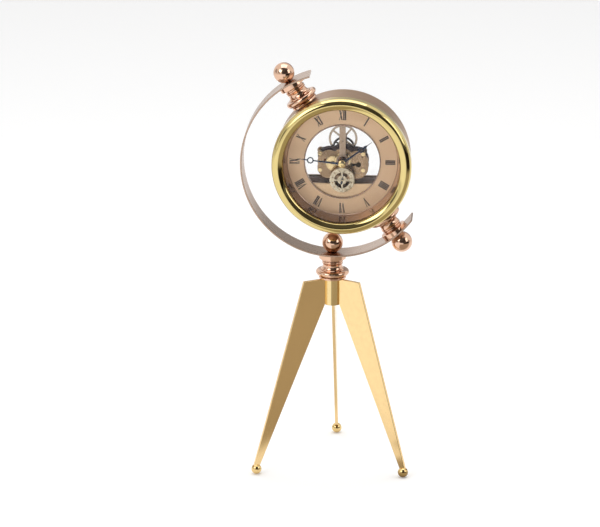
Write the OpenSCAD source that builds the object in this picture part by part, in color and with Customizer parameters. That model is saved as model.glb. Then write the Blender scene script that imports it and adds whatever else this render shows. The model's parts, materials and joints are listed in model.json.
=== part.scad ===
// Globe-style skeleton desk clock: a round clock head on a tilted pivot axis inside a
// C-shaped strip ring, on a three-legged stand. The front faces -Y and the origin is on
// the post axis, on the plane that the feet stand on.

/* [Stand] */
// Radius of the circle through the three feet
foot_circle_r = 61.2; // [45:0.1:80]
// Height of the top edges of the legs
leg_top_z = 140.2; // [100:0.1:180]
// Radius of each ball foot
foot_r = 3.7; // [3.2:0.1:5]
// Thickness of each leg plate
leg_t = 2.2; // [1.6:0.1:3]
// Distance from the post axis to the outer top corner of a leg
leg_reach = 23.1; // [18:0.1:30]
// Height of a leg at the hub
leg_root_h = 19.2; // [14:0.1:24]
// Width of a leg where it enters its foot
leg_tip_w = 4.3; // [3:0.1:5]
// Radius of the hub
hub_r = 6.5; // [5.8:0.1:9]
// Depth of the slots in the hub
slot_depth = 2; // [1:0.1:2.6]

/* [Ring and pivots] */
// Thickness of the ring strip
ring_t = 1.2; // [0.8:0.1:2]
// Width of the ring strip
ring_w = 20; // [16:0.5:24]
// Sideways offset of the ring centre from the post axis
ring_shift = 2.2; // [0:0.1:5]
// Offset of the clock head from the ring centre, square to the pivot axis
head_offset = 6.3; // [0:0.1:8]
// Lean of the pivot axis from the vertical
axis_lean = 34.5; // [20:0.5:45]
// Angle on the ring at which its upper end is cut
ring_end_top = 105.9; // [100:0.1:110]
// Angle on the ring at which its lower end is cut
ring_end_low = -35.7; // [-40:0.1:-33]
// Length of each turned baluster
baluster_h = 18.1; // [16:0.1:24]
// Radius of the large lobe of a baluster
lobe_r = 12; // [10.5:0.1:13]
// Radius of the flange that seats on the ring
flange_r = 9.7; // [8:0.1:9.9]
// Radius of the waist of a baluster
waist_r = 7; // [5:0.1:8]
// Radius of each ball nut
ball_r = 7.5; // [6:0.1:8]
// Distance from a ball nut's centre to its seat
ball_seat = 7.1; // [5.6:0.1:7.4]
// Radius of the studs
stud_r = 2; // [1.5:0.05:2.5]

/* [Case] */
// Outer radius of the case drum
drum_r = 47.8; // [47:0.1:60]
// Wall thickness of the drum
drum_wall = 1.5; // [1:0.1:1.8]
// Distance from the pivot axis back to the rear edge of the drum
drum_back = 9; // [9:0.1:12]
// Distance from the pivot axis forward to the bezel's rear face
drum_front = 10.3; // [10.3:0.1:12]
// How far the drum runs on past the dial's seat to the bezel
drum_fore = 8.3; // [6:0.1:9]
// Height of the bezel in front of the drum
bezel_h = 9.7; // [9:0.1:12]
// How far the bezel stands out beyond the drum
bezel_lip = 1.7; // [1:0.1:1.9]
// Thickness of the front glass
glass_t = 1.4; // [1:0.1:1.6]
// Thickness of the rear cover
cover_t = 1.2; // [1:0.1:2]

/* [Dial] */
// Radius of the opening through the dial
dial_open_r = 27.3; // [26:0.1:30]
// Thickness of the dial
dial_t = 1; // [0.6:0.1:1.2]
// Radius of the circle through the numerals' middles
numeral_r = 34; // [33:0.1:36]
// Height of the numerals
numeral_h = 7; // [5:0.1:8]
// Width of the bridge bar
bar_w = 4.4; // [3.6:0.1:5]
// Outer radius of the seconds ring
seconds_ring_r = 8.9; // [7.5:0.1:9]
// How far the seconds ring stands in front of the lower plate
seconds_rise = 3.5; // [1:0.1:4]
// How far the hour hand stands in front of the dial
hand_rise = 4.9; // [4.5:0.1:6]
// Length of the minute hand
minute_len = 32; // [28:0.5:34]
// Length of the hour hand
hour_len = 26.5; // [20:0.5:27]

/* [Movement] */
// Distance between the centre arbor and the setting arbor
setting_gap = 7.2; // [7:0.05:7.5]
// Distance from the centre arbor down to the seconds arbor
seconds_drop = 12.7; // [12.3:0.1:12.9]
// Height of the spoked wheel's arbor above the centre arbor
spoked_rise = 14.7; // [14.4:0.1:15.5]
// Height of the dark wheel's arbor above the centre arbor
dark_rise = 5.8; // [5.6:0.1:6.2]
// Outer radius of the spoked wheel
spoked_r = 10.2; // [8:0.1:10.6]
// Radial clearance of a turning fit
fit = 0.05; // [0.02:0.01:0.08]
// Radius of the battery
cell_r = 7.25; // [6.8:0.05:7.3]
// Length of the battery
cell_len = 50.5; // [44:0.5:50.5]

/* [Hidden] */

$fn = 64;
e = 0.01;
seat_gap = 0.02;

// Stand and ring positions
washer_t = 0.3;
washer_gap = 0.1;
half_chord = drum_r + washer_gap + washer_t + baluster_h;
ring_in = sqrt(pow(half_chord, 2) + pow(head_offset, 2));
ring_out = ring_in + ring_t;
ring_low_z = leg_top_z + baluster_h;
ring_cx = ring_shift;
ring_cz = ring_low_z + sqrt(pow(ring_out, 2) - pow(ring_shift, 2));
inner_low_z = ring_cz - sqrt(pow(ring_in, 2) - pow(ring_shift, 2));
outer_chord = sqrt(pow(ring_out, 2) - pow(head_offset, 2));
head_cx = ring_cx + head_offset * cos(axis_lean);
head_cz = ring_cz + head_offset * sin(axis_lean);
hub_low_z = leg_top_z - leg_root_h - 0.3;

// Planes of the head, measured forward from the pivot axis
drum_in = drum_r - drum_wall;
bezel_r = drum_r + bezel_lip;
drum_end = drum_front + drum_fore;
bezel_top = drum_end + bezel_h;
recess_r = drum_in - 2.85;
lip_r = recess_r - 2.15;
gasket_t = 0.3;
lip_drop = 3.2;
rim_round = 4.2;
crest_r = bezel_r - rim_round;
lip_z = bezel_top - lip_drop;
glass_front = lip_z - gasket_t;
glass_back = glass_front - glass_t;
dial_front = drum_front + 0.7;
dial_back = dial_front - dial_t;
bar_t = 1.4;
bar_back = dial_back - bar_t;
spacer_open_r = lip_r - 2.3;

// Planes of the movement
post_h = 2.8;
plate_t = 1.4;
front_plate_z = bar_back - post_h - plate_t;
train_h = 7;
back_plate_z = front_plate_z - train_h - plate_t;
motion_z = front_plate_z + plate_t + 0.1;
hour_wheel_z = motion_z + 1;
wheel_t = 0.7;
hour_hand_z = dial_front + hand_rise;
minute_hand_z = hour_hand_z + 1.1;
hand_t = 0.4;
cover_z = -drum_back;

// Arbor places, seen from the front, with the dial's middle as origin
centre_at = [0, 0];
seconds_at = [0, -seconds_drop];
spoked_at = [0, spoked_rise];
dark_at = [0, dark_rise];
setting_angle = 200;
setting_at = setting_gap * [cos(setting_angle), sin(setting_angle)];

// Tooth counts and the modules that give the arbor distances
seconds_pinion_n = 8;
third_n = 60;
third_pinion_n = 8;
centre_n = 64;
train_m = 0.19;
seconds_n = 36;
inter_n = 30;
step_pinion_n = 6;
step_m = 0.2;
rear_n = 48;
dark_pinion_n = 10;
dark_n = 80;
spoked_pinion_n = 8;
rear_m = 2 * dark_rise / (rear_n + dark_pinion_n);
dark_m = 2 * (spoked_rise - dark_rise) / (dark_n + spoked_pinion_n);
cannon_n = 12;
minute_n = 36;
minute_pinion_n = 10;
hour_n = 40;
minute_m = 2 * setting_gap / (cannon_n + minute_n);
hour_m = 2 * setting_gap / (minute_pinion_n + hour_n);

// The third arbor meshes both ways, so it stands where two circles cross
third_low = train_m * (seconds_pinion_n + third_n) / 2;
third_high = train_m * (third_pinion_n + centre_n) / 2;
third_y = -(pow(third_high, 2) - pow(third_low, 2) + pow(seconds_drop, 2)) / (2 * seconds_drop);
third_at = [sqrt(pow(third_high, 2) - pow(third_y, 2)), third_y];
inter_angle = 160;
inter_gap = step_m * (seconds_n + step_pinion_n) / 2;
inter_at = seconds_at + inter_gap * [cos(inter_angle), sin(inter_angle)];
rotor_angle = 150;
rotor_gap = step_m * (inter_n + step_pinion_n) / 2;
rotor_at = inter_at + rotor_gap * [cos(rotor_angle), sin(rotor_angle)];

// Battery bay
base_top = -16.4;
notch_low = -17.2;
notch_half = 12.5;
cell_y = -18.55 - cell_r;
cell_x = -3.05;
cell_z = -0.25;
bay_gap = 0.35;
contact_t = 0.5;
bay_half = cell_len / 2 + contact_t + 0.7;
base_back = cover_z + cover_t;
door_gap = 0.2;
door_margin = 0.8;

pillar_spots = [[14.5, 4.5], [14.5, -7.5], [-16.2, 4.5], [-16.2, -7.5]];
post_spots = [[0, 8.2], [7, -14.8], [-7, -14.8]];
pillar_r = 1.2;
coil_at = [-12.3, -1];
coil_r = 2.3;
coil_len = 12;
coil_z = front_plate_z - 3.9;

minute_angle = 276;
hour_angle = 53;
seconds_angle = 12;

// Fastenings, bushes and plates
foot_seat_z = 1.52 * foot_r;
foot_flat = 0.15;
leg_angles = [210, 330, 90];
stud_low_z = leg_top_z - leg_root_h + 4;
ball_depth = 4;
bush_flange_t = 1.1;
bush_r = 3;
bush_flange_r = 4.6;
bush_face = drum_in - 0.3;
nut_gap = 0.3;
nut_h = 3.1;
nut_top = bush_face - bush_flange_t - nut_gap;
stud_inner = nut_top - nut_h - 0.3;
numeral_t = 0.12;
stroke_w = 0.75;
thin_w = 0.35;
holder_r = recess_r - 3.4;
holder_back = drum_front - 3.2;
boss_r = 4.6;
bush_bore = 2.1 + fit;
bar_top = dial_open_r + 4;
plate_reach = holder_r - 1;
pivot_r = 0.35;
stator_t = 0.8;
magnet_r = 1.9;
window_r = 38;
window_low = base_top + 1;
knob_r = 3.4;
space_low = back_plate_z + plate_t;
centre_wheel_z = space_low + 1;
third_wheel_z = space_low + 2.8;
seconds_wheel_z = space_low + 4.6;
inter_wheel_z = space_low + 5.7;
rear_wheel_z = back_plate_z - 1.4;
dark_wheel_z = back_plate_z - 2.6;
spoked_z = space_low + 4.1;
shake = 0.1;
third_pinion_phase = 0;
third_phase = 0;
inter_phase = 0;
rotor_magnet_len = 2.4;
setting_phase = 0;
nut_dome = 1.45;
cannon_phase = 0;
seconds_inner = seconds_ring_r - 3.2;
seconds_ring_t = 0.7;
seconds_hand_z = dial_back + seconds_rise + seconds_ring_t + 0.2;

gold = [0.83, 0.68, 0.36];
satin_gold = [0.80, 0.66, 0.38];
rose = [0.80, 0.55, 0.42];
pale_rose = [0.82, 0.70, 0.64];
drum_tone = [0.62, 0.49, 0.44];
dial_tone = [0.82, 0.68, 0.53];
dark = [0.16, 0.11, 0.09];
steel = [0.70, 0.70, 0.72];
brass = [0.78, 0.62, 0.30];

// Points of an arc about (cx, cy) from angle a0 to a1
function arc(cx, cy, r, a0, a1, n = 8) =
    [for (i = [0:n]) let (a = a0 + (a1 - a0) * i / n) [cx + r * cos(a), cy + r * sin(a)]];

// Angle of a follower's tooth so that it meshes with a driver at angle theta between centres
function mesh_phase(theta, n1, phase1, n2) =
    theta + 180 - 180 / n2 + (theta - phase1) * n1 / n2;

// Direction from one arbor to another
function bearing(from, to) = atan2(to[1] - from[1], to[0] - from[0]);

// ---------- frames of reference ----------

// Puts a piece drawn on the dial's plane (x right, y up, z forward) into the head
module in_head(z = 0) {
    translate([head_cx, 0, head_cz]) rotate([90, 0, 0]) translate([0, 0, z]) children();
}

// Puts a piece drawn along +Z on to the pivot axis, outward from the head's middle
module on_pivot(top) {
    translate([head_cx, 0, head_cz]) rotate([0, top ? -axis_lean : 180 - axis_lean, 0]) children();
}

module ring_cylinder(r) {
    translate([ring_cx, 0, ring_cz]) rotate([90, 0, 0])
        cylinder(r = r, h = 4 * ring_w, center = true, $fn = 180);
}

// ---------- gears ----------

// A spur wheel with stub teeth. Every mate has the same module, and the teeth leave backlash.
module toothed(n, m, h, phase = 0) {
    pitch_r = n * m / 2;
    tip_r = pitch_r + 0.8 * m;
    root_r = pitch_r - 1.15 * m;
    pitch_half = 0.205 * 360 / n;
    tip_half = 0.42 * pitch_half;
    root_half = 1.25 * pitch_half;
    linear_extrude(h)
        polygon([for (i = [0:n - 1]) let (a = phase + i * 360 / n)
            for (p = [[root_r, -root_half], [pitch_r, -pitch_half], [tip_r, -tip_half],
                      [tip_r, tip_half], [pitch_r, pitch_half], [root_r, root_half]])
                [p[0] * cos(a + p[1]), p[0] * sin(a + p[1])]]);
}

// Cuts windows between the spokes of a wheel
module spoke_windows(inner, outer, spokes, spoke_w, h) {
    difference() {
        translate([0, 0, -e]) cylinder(r = outer, h = h + 2 * e);
        translate([0, 0, -2 * e]) cylinder(r = inner, h = h + 4 * e);
        for (i = [0:spokes - 1])
            rotate(i * 360 / spokes) translate([0, -spoke_w / 2, -2 * e])
                cube([2 * outer, spoke_w, h + 4 * e]);
    }
}

// ---------- stand ----------

module leg_plate() {
    half_tip = leg_tip_w / 2;
    seat_z = foot_seat_z;
    rotate([90, 0, 0]) translate([0, 0, -leg_t / 2]) linear_extrude(leg_t)
        polygon([[hub_r - slot_depth, leg_top_z], [leg_reach, leg_top_z],
            [foot_circle_r + half_tip, seat_z], [foot_circle_r - half_tip, seat_z],
            [hub_r, leg_top_z - leg_root_h], [hub_r - slot_depth, leg_top_z - leg_root_h]]);
}

module leg_left() color(satin_gold) rotate(leg_angles[0]) leg_plate();
module leg_right() color(satin_gold) rotate(leg_angles[1]) leg_plate();
module leg_back() color(satin_gold) rotate(leg_angles[2]) leg_plate();

module ball_foot(angle) {
    color(gold) rotate(angle) translate([foot_circle_r, 0, 0]) difference() {
        translate([0, 0, foot_r - foot_flat]) sphere(r = foot_r);
        translate([-2 * foot_r, -2 * foot_r, -2 * foot_r])
            cube([4 * foot_r, 4 * foot_r, 2 * foot_r]);
        translate([-2 * foot_r, -leg_t / 2 - seat_gap, foot_seat_z])
            cube([4 * foot_r, leg_t + 2 * seat_gap, foot_r]);
    }
}

module foot_left() ball_foot(leg_angles[0]);
module foot_right() ball_foot(leg_angles[1]);
module foot_back() ball_foot(leg_angles[2]);

module leg_hub() {
    color(satin_gold) difference() {
        translate([0, 0, hub_low_z]) cylinder(r = hub_r, h = leg_top_z - hub_low_z);
        for (a = leg_angles)
            rotate(a) translate([hub_r - slot_depth, -leg_t / 2 - seat_gap, leg_top_z - leg_root_h])
                cube([hub_r, leg_t + 2 * seat_gap, leg_root_h + e]);
        translate([0, 0, stud_low_z]) cylinder(r = stud_r + seat_gap, h = leg_root_h + 10);
    }
}

module centre_stud() {
    color(steel) translate([0, 0, stud_low_z])
        cylinder(r = stud_r, h = inner_low_z + ball_seat + ball_depth - stud_low_z - e);
}

// Outline of a baluster from its case end at 0 to its ring end, with spare length for the seat
module baluster_profile(spare) {
    rim_r = 0.82 * lobe_r;
    lobe_y = 4.6;
    lobe_half = 1.9;
    bead_y = 0.68 * baluster_h;
    cove_y = baluster_h - 4.6;
    flange_y = baluster_h - 3.2;
    polygon(concat(
        [[0, 0], [rim_r - 0.4, 0], [rim_r, 0.4], [rim_r, 1.3], [rim_r - 0.9, 1.9], [rim_r - 0.9, 2.5]],
        arc(lobe_r - lobe_half, lobe_y, lobe_half, -78, 78, 12),
        [[waist_r + 1.6, 6.6], [waist_r + 1.6, 7.2]],
        arc(waist_r + 3.2, 9.6, 3.2, 218, 150, 6),
        arc(waist_r - 0.2, bead_y, 0.7, -70, 70, 6),
        [[waist_r - 0.1, cove_y]],
        [[waist_r + 0.5, cove_y + 0.7], [flange_r - 0.4, flange_y - 0.2], [flange_r, flange_y],
         [flange_r, baluster_h + spare], [0, baluster_h + spare]]));
}

module baluster(spare) {
    difference() {
        rotate_extrude() baluster_profile(spare);
        translate([0, 0, -e]) cylinder(r = stud_r + fit, h = baluster_h + spare + 2 * e);
    }
}

module base_baluster() {
    color(rose) difference() {
        translate([0, 0, leg_top_z]) baluster(1.5);
        ring_cylinder(ring_out + seat_gap);
    }
}

module top_baluster() color(rose) pivot_baluster(true);
module lower_baluster() color(rose) pivot_baluster(false);

module pivot_baluster(top) {
    intersection() {
        on_pivot(top) translate([0, 0, half_chord - baluster_h]) baluster(1.5);
        ring_cylinder(ring_in - seat_gap);
    }
}

module ring_strip() {
    span = ring_end_low + 360 - ring_end_top;
    color(pale_rose) difference() {
        translate([ring_cx, 0, ring_cz]) rotate([90, 0, 0]) rotate(ring_end_top)
            rotate_extrude(angle = span, $fn = 180) translate([ring_in, -ring_w / 2])
                square([ring_t, ring_w]);
        cylinder(r = stud_r + fit, h = ring_cz);
        for (top = [true, false])
            on_pivot(top) cylinder(r = stud_r + fit, h = 2 * ring_out);
    }
}

module ball(hole) {
    difference() {
        sphere(r = ball_r);
        translate([0, 0, -ball_r - e]) cylinder(r = stud_r + seat_gap, h = ball_r + hole);
    }
}

module ball_nuts() {
    color(rose) {
        intersection() {
            translate([0, 0, inner_low_z + ball_seat]) ball(ball_depth);
            ring_cylinder(ring_in - seat_gap);
        }
        for (top = [true, false]) difference() {
            on_pivot(top) translate([0, 0, outer_chord + ball_seat]) ball(ball_depth);
            ring_cylinder(ring_out + seat_gap);
        }
    }
}

module pivot_studs() {
    color(steel) for (top = [true, false])
        on_pivot(top) translate([0, 0, stud_inner])
            cylinder(r = stud_r, h = outer_chord + ball_seat + ball_depth - stud_inner - 2 * e);
}

module pivot_washers() {
    color(dark) for (top = [true, false])
        on_pivot(top) translate([0, 0, drum_r + washer_gap]) difference() {
            cylinder(r = 5, h = washer_t);
            translate([0, 0, -e]) cylinder(r = stud_r + fit, h = washer_t + 2 * e);
        }
}

module pivot_nuts() {
    color(steel) for (top = [true, false])
        on_pivot(top) translate([0, 0, nut_top - nut_h]) difference() {
            cylinder(r = 2 * stud_r, h = nut_h, $fn = 6);
            translate([0, 0, -e]) cylinder(r = stud_r + seat_gap, h = nut_h + 2 * e);
        }
}

// ---------- case ----------

module case_drum() {
    color(drum_tone) difference() {
        in_head(cover_z) difference() {
            cylinder(r = drum_r, h = drum_back + drum_end, $fn = 180);
            translate([0, 0, -e]) cylinder(r = drum_in, h = drum_back + drum_end + 2 * e, $fn = 180);
        }
        for (top = [true, false])
            on_pivot(top) cylinder(r = bush_r + seat_gap, h = drum_r + 5);
    }
}

module pivot_bushes() {
    color(brass) for (top = [true, false])
        on_pivot(top) difference() {
            union() {
                translate([0, 0, bush_face - bush_flange_t]) cylinder(r = bush_flange_r, h = bush_flange_t);
                translate([0, 0, bush_face - e]) cylinder(r = bush_r, h = drum_r - bush_face - 0.1);
            }
            cylinder(r = stud_r + fit, h = drum_r + 1);
        }
}

module bezel() {
    color(gold) in_head() rotate_extrude($fn = 180)
        polygon(concat(
            [[recess_r, drum_front - 2], [drum_in - seat_gap, drum_front - 2],
             [drum_in - seat_gap, drum_end], [bezel_r - 0.5, drum_end]],
            arc(bezel_r - 0.5, drum_end + 0.5, 0.5, -90, 0, 3),
            arc(crest_r, bezel_top - rim_round, rim_round, 0, 90, 10),
            [for (a = [100:10:170]) [crest_r + (crest_r - lip_r - 0.15) * cos(a),
                lip_z + 0.5 + (lip_drop - 0.5) * sin(a)]],
            [[lip_r, lip_z + 0.3], [lip_r, lip_z], [recess_r, lip_z]]));
}

module glass_gasket() {
    color(dark) in_head(glass_front) difference() {
        cylinder(r = recess_r - seat_gap, h = gasket_t, $fn = 128);
        translate([0, 0, -e]) cylinder(r = lip_r + 0.4, h = gasket_t + 2 * e, $fn = 128);
    }
}

module front_glass() {
    color([0.85, 0.93, 0.95, 0.3]) in_head(glass_back)
        cylinder(r = recess_r - 2 * seat_gap, h = glass_t, $fn = 128);
}

module dial_spacer() {
    color(rose) in_head() rotate_extrude($fn = 180)
        polygon([[spacer_open_r, dial_front], [recess_r - seat_gap, dial_front],
            [recess_r - seat_gap, glass_back], [lip_r, glass_back], [spacer_open_r, dial_front + 0.3]]);
}

module dial_ring() {
    color(dial_tone) in_head(dial_back) difference() {
        cylinder(r = recess_r - seat_gap, h = dial_t, $fn = 128);
        translate([0, 0, -e]) cylinder(r = dial_open_r, h = dial_t + 2 * e, $fn = 128);
    }
}

// One straight stroke between two points, with the ink's thickness
module stroke(from, to, w) {
    length = norm(to - from);
    translate([from[0], from[1], 0]) rotate(bearing(from, to))
        translate([0, -w / 2, 0]) cube([length, w, numeral_t]);
}

// Letters of a numeral, each [letter, left edge]
module letter(kind, x) {
    half = numeral_h / 2;
    if (kind == "I") stroke([x + 0.55, -half], [x + 0.55, half], stroke_w);
    if (kind == "V") union() {
        stroke([x + 0.4, half], [x + 1.5, -half], stroke_w);
        stroke([x + 2.6, half], [x + 1.5, -half], thin_w);
    }
    if (kind == "X") union() {
        stroke([x + 0.4, half], [x + 2.6, -half], stroke_w);
        stroke([x + 2.6, half], [x + 0.4, -half], thin_w);
    }
}

function letter_w(kind) = kind == "I" ? 1.15 : 3;
function word_w(word, i = 0) = i == len(word) ? 0 : letter_w(word[i]) + word_w(word, i + 1);
function word_x(word, k, i = 0) = i == k ? 0 : letter_w(word[i]) + word_x(word, k, i + 1);

HOURS = ["XII", "I", "II", "III", "IIII", "V", "VI", "VII", "VIII", "IX", "X", "XI"];

module dial_numerals() {
    color(dark) in_head(dial_front) for (h = [0:11])
        rotate(-30 * h) translate([-word_w(HOURS[h]) / 2, numeral_r, 0])
            for (k = [0:len(HOURS[h]) - 1]) letter(HOURS[h][k], word_x(HOURS[h], k));
}

module dial_inner_rim() {
    color(rose) in_head(dial_back - 0.3) difference() {
        cylinder(r = dial_open_r - seat_gap, h = dial_t + 0.9, $fn = 128);
        translate([0, 0, -e]) cylinder(r = dial_open_r - 0.8, h = dial_t + 0.9 + 2 * e, $fn = 128);
        translate([-bar_w / 2 - seat_gap, 0, -e]) cube([bar_w + 2 * seat_gap, 40, 0.3 + 2 * e]);
        translate([-40, -40, -e]) cube([80, 40 + base_top + seat_gap, 0.3 + 2 * e]);
    }
}

module retaining_ring() {
    color(steel) difference() {
        in_head() rotate_extrude($fn = 128)
            polygon([[holder_r, holder_back], [drum_in - 0.2, holder_back],
                [drum_in - 0.2, drum_front - 2], [recess_r - seat_gap, drum_front - 2],
                [recess_r - seat_gap, dial_back], [holder_r, dial_back]]);
        in_head(holder_back) for (a = [0, 90, 180])
            rotate(a) translate([(recess_r + drum_in) / 2, 0, -e]) cylinder(r = 0.85, h = 1.2 + 2 * e);
    }
}

module retaining_screws() {
    color(steel) in_head(holder_back) for (a = [0, 90, 180])
        rotate(a) translate([(recess_r + drum_in) / 2, 0, 0]) {
            translate([0, 0, -0.8]) cylinder(r = 1.2, h = 0.8);
            translate([0, 0, -e]) cylinder(r = 0.8, h = 1.2 - e);
        }
}

// ---------- movement frame ----------

module bridge_bar() {
    color(dial_tone) in_head(bar_back) difference() {
        union() {
            translate([-bar_w / 2, 0, 0]) cube([bar_w, bar_top, bar_t]);
            cylinder(r = boss_r, h = bar_t);
        }
        translate([0, 0, -e]) cylinder(r = 2.8, h = bar_t + 2 * e);
        translate([spoked_at[0], spoked_at[1], -e]) cylinder(r = 0.45 + fit, h = bar_t - 0.3);
    }
}

module centre_bush() {
    color(rose) in_head(bar_back) difference() {
        union() {
            cylinder(r = 2.8 - seat_gap, h = bar_t);
            translate([0, 0, bar_t]) cylinder(r = 3.5, h = 1);
        }
        translate([0, 0, -e]) cylinder(r = bush_bore, h = bar_t + 1 + 2 * e);
    }
}

module lower_plate() {
    color(gold) in_head(bar_back) difference() {
        union() {
            difference() {
                cylinder(r = plate_reach, h = bar_t, $fn = 128);
                translate([-60, base_top, -e]) cube([120, 120, bar_t + 2 * e]);
            }
            translate([seconds_at[0], seconds_at[1], 0]) cylinder(r = seconds_ring_r - 0.2, h = bar_t);
        }
        translate([seconds_at[0], seconds_at[1], -e]) cylinder(r = seconds_inner, h = bar_t + 2 * e);
        cylinder(r = boss_r + 0.2, h = 3 * bar_t, center = true);
    }
}

// The dial of the seconds hand, on a sleeve that stands on the lower plate
module seconds_ring() {
    color(brass) in_head(dial_back) translate([seconds_at[0], seconds_at[1], 0]) {
        difference() {
            cylinder(r = seconds_inner + 1, h = seconds_rise + e);
            translate([0, 0, -e]) cylinder(r = seconds_inner, h = seconds_rise + 3 * e);
        }
        translate([0, 0, seconds_rise]) difference() {
            cylinder(r = seconds_ring_r, h = seconds_ring_t);
            spoke_windows(3.3, seconds_inner, 4, 1.2, seconds_ring_t);
            translate([0, 0, -e]) cylinder(r = 0.45 + fit, h = seconds_ring_t + 2 * e);
            for (i = [0:11])
                rotate(15 + i * 30) translate([(seconds_ring_r + seconds_inner + 1) / 2, 0, -e])
                    cylinder(r = 0.5, h = seconds_ring_t + 2 * e, $fn = 16);
        }
    }
}

module plate_outline() {
    for (side = [-1, 1]) {
        translate([9.6 * side, -1.6]) circle(r = 8.6);
        translate([10.4 * side, -5.9]) circle(r = 7.7);
    }
    circle(r = 9.9);
    translate([-8.6, -16.6]) square([17.2, 10]);
    for (p = pillar_spots) translate(p) circle(r = 2.4);
}

module arbor_holes(list, z, h) {
    for (item = list) translate([item[0][0], item[0][1], z - e]) cylinder(r = item[1] + fit, h = h + 2 * e);
}

module front_plate() {
    color(gold) in_head(front_plate_z) difference() {
        linear_extrude(plate_t) plate_outline();
        arbor_holes([[centre_at, 0.6], [seconds_at, 0.45], [third_at, pivot_r], [inter_at, pivot_r],
            [rotor_at, pivot_r], [setting_at, 0.7]], 0, plate_t);
        for (p = pillar_spots)
            translate([p[0], p[1], -e]) cylinder(r = 0.8 + seat_gap, h = plate_t + 2 * e);
        translate([11.4, -2, -e]) cylinder(r = 2.2, h = plate_t + 2 * e);
        translate([7.9, -2.6, -e]) cylinder(r = 1.3, h = plate_t + 2 * e);
        translate([-11.5, 2.4, -e]) cylinder(r = 1.8, h = plate_t + 2 * e);
    }
}

module gear_cover() {
    color(dark) in_head(front_plate_z - 0.8) difference() {
        linear_extrude(0.8) intersection() {
            union() {
                for (side = [-1, 1]) translate([9.6 * side, 1.2]) circle(r = 8.4);
                translate([0, 1.4]) circle(r = 10.2);
            }
            translate([-30, 1.6]) square([60, 30]);
        }
        for (p = pillar_spots) translate([p[0], p[1], -e]) cylinder(r = pillar_r + 0.1, h = 1);
        translate([0, 0, -e]) cylinder(r = 2.6, h = 1);
    }
}

module back_plate() {
    color(gold) in_head(back_plate_z) difference() {
        linear_extrude(plate_t) union() {
            plate_outline();
            translate([-2.4, 0]) square([4.8, spoked_rise + 2.4]);
        }
        arbor_holes([[centre_at, 0.6], [seconds_at, pivot_r], [third_at, pivot_r], [inter_at, pivot_r],
            [rotor_at, pivot_r], [setting_at, 0.7], [spoked_at, 0.45], [dark_at, 0.5]], 0, plate_t);
    }
}

module pillars() {
    color(brass) in_head(back_plate_z + plate_t) for (p = pillar_spots)
        translate([p[0], p[1], 0]) difference() {
            cylinder(r = pillar_r, h = train_h);
            translate([0, 0, train_h - 3]) cylinder(r = 0.8 + seat_gap, h = 3 + e);
        }
}

module bridge_posts() {
    color(brass) in_head(front_plate_z + plate_t) for (p = post_spots)
        translate([p[0], p[1], 0]) cylinder(r = 1.2, h = post_h);
}

module plate_screws() {
    color(steel) in_head(front_plate_z) for (p = pillar_spots) translate([p[0], p[1], 0]) {
        translate([0, 0, plate_t]) cylinder(r = 1.4, h = 0.8);
        translate([0, 0, -2.5]) cylinder(r = 0.8, h = plate_t + 2.5 + e);
    }
}

// ---------- battery bay and electronics ----------

module movement_base() {
    front = holder_back - 0.2;
    color(dark) difference() {
        in_head() difference() {
            union() {
                translate([0, 0, base_back]) cylinder(r = drum_in - 0.8, h = front - base_back, $fn = 128);
                translate([0, 0, front - e])
                    cylinder(r = holder_r - 0.3, h = bar_back - front + e, $fn = 128);
            }
            translate([-60, base_top, base_back - 1]) cube([120, 120, 30]);
            translate([-notch_half, notch_low, base_back - 1]) cube([2 * notch_half, 20, 30]);
            translate([cell_x - bay_half, cell_y - cell_r - bay_gap, base_back - 1])
                cube([2 * bay_half, 2 * (cell_r + bay_gap), cell_z + cell_r + bay_gap + 1 - base_back]);
        }
        on_pivot(false) translate([0, 0, stud_inner - 0.4]) cylinder(r = 5.2, h = 20);
    }
}

module battery() {
    color([0.35, 0.35, 0.38]) in_head() translate([cell_x, cell_y, cell_z]) rotate([0, 90, 0]) union() {
        translate([0, 0, -cell_len / 2]) cylinder(r = cell_r, h = cell_len - 1.2);
        translate([0, 0, cell_len / 2 - 1.2 - e]) cylinder(r = 2.7, h = 1.2);
    }
}

module battery_contacts() {
    color(steel) in_head() for (side = [-1, 1])
        translate([cell_x + side * (cell_len / 2 + 0.1 + contact_t / 2), cell_y, cell_z])
            cube([contact_t, 9, 9], center = true);
}

// The board carries its quartz can and its sealed chip on the rear side
module circuit_board() {
    board_t = 0.8;
    color([0.10, 0.35, 0.18]) in_head(back_plate_z - board_t) union() {
        translate([-17.4, -8, 0]) cube([8.4, 14.5, board_t]);
        translate([-11.2, -6.4, -0.8]) rotate([-90, 0, 0]) cylinder(r = 1, h = 6);
        translate([-14.8, 3, -0.7]) cylinder(r = 2, h = 0.7 + e);
    }
}

module coil_winding() {
    color([0.62, 0.28, 0.14]) in_head(coil_z) translate([coil_at[0], coil_at[1] - coil_len / 2, 0])
        rotate([-90, 0, 0]) difference() {
            cylinder(r = coil_r, h = coil_len);
            translate([0, 0, -e]) cylinder(r = 0.9, h = coil_len + 2 * e);
        }
}

module stator() {
    reach = 2.2;
    low = coil_at[1] - coil_len / 2 - reach;
    color(steel) in_head(coil_z) difference() {
        union() {
            translate([coil_at[0], low, 0]) rotate([-90, 0, 0])
                cylinder(r = 0.88, h = coil_len + 2 * reach);
            translate([coil_at[0] - 1.6, rotor_at[1] - 2.9, -stator_t / 2])
                cube([rotor_at[0] - coil_at[0] + 1.6, 2.9 + low + reach - 0.1 - rotor_at[1], stator_t]);
            translate([rotor_at[0], rotor_at[1], -stator_t / 2]) cylinder(r = 3, h = stator_t);
        }
        translate([rotor_at[0], rotor_at[1], -2]) cylinder(r = magnet_r + 0.35, h = 4);
    }
}

// ---------- rear cover ----------

module door_outline(gap) {
    half_w = bay_half + door_margin + gap;
    half_h = cell_r + bay_gap + gap;
    translate([cell_x - half_w, cell_y - half_h]) square([2 * half_w, 2 * half_h]);
}

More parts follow.
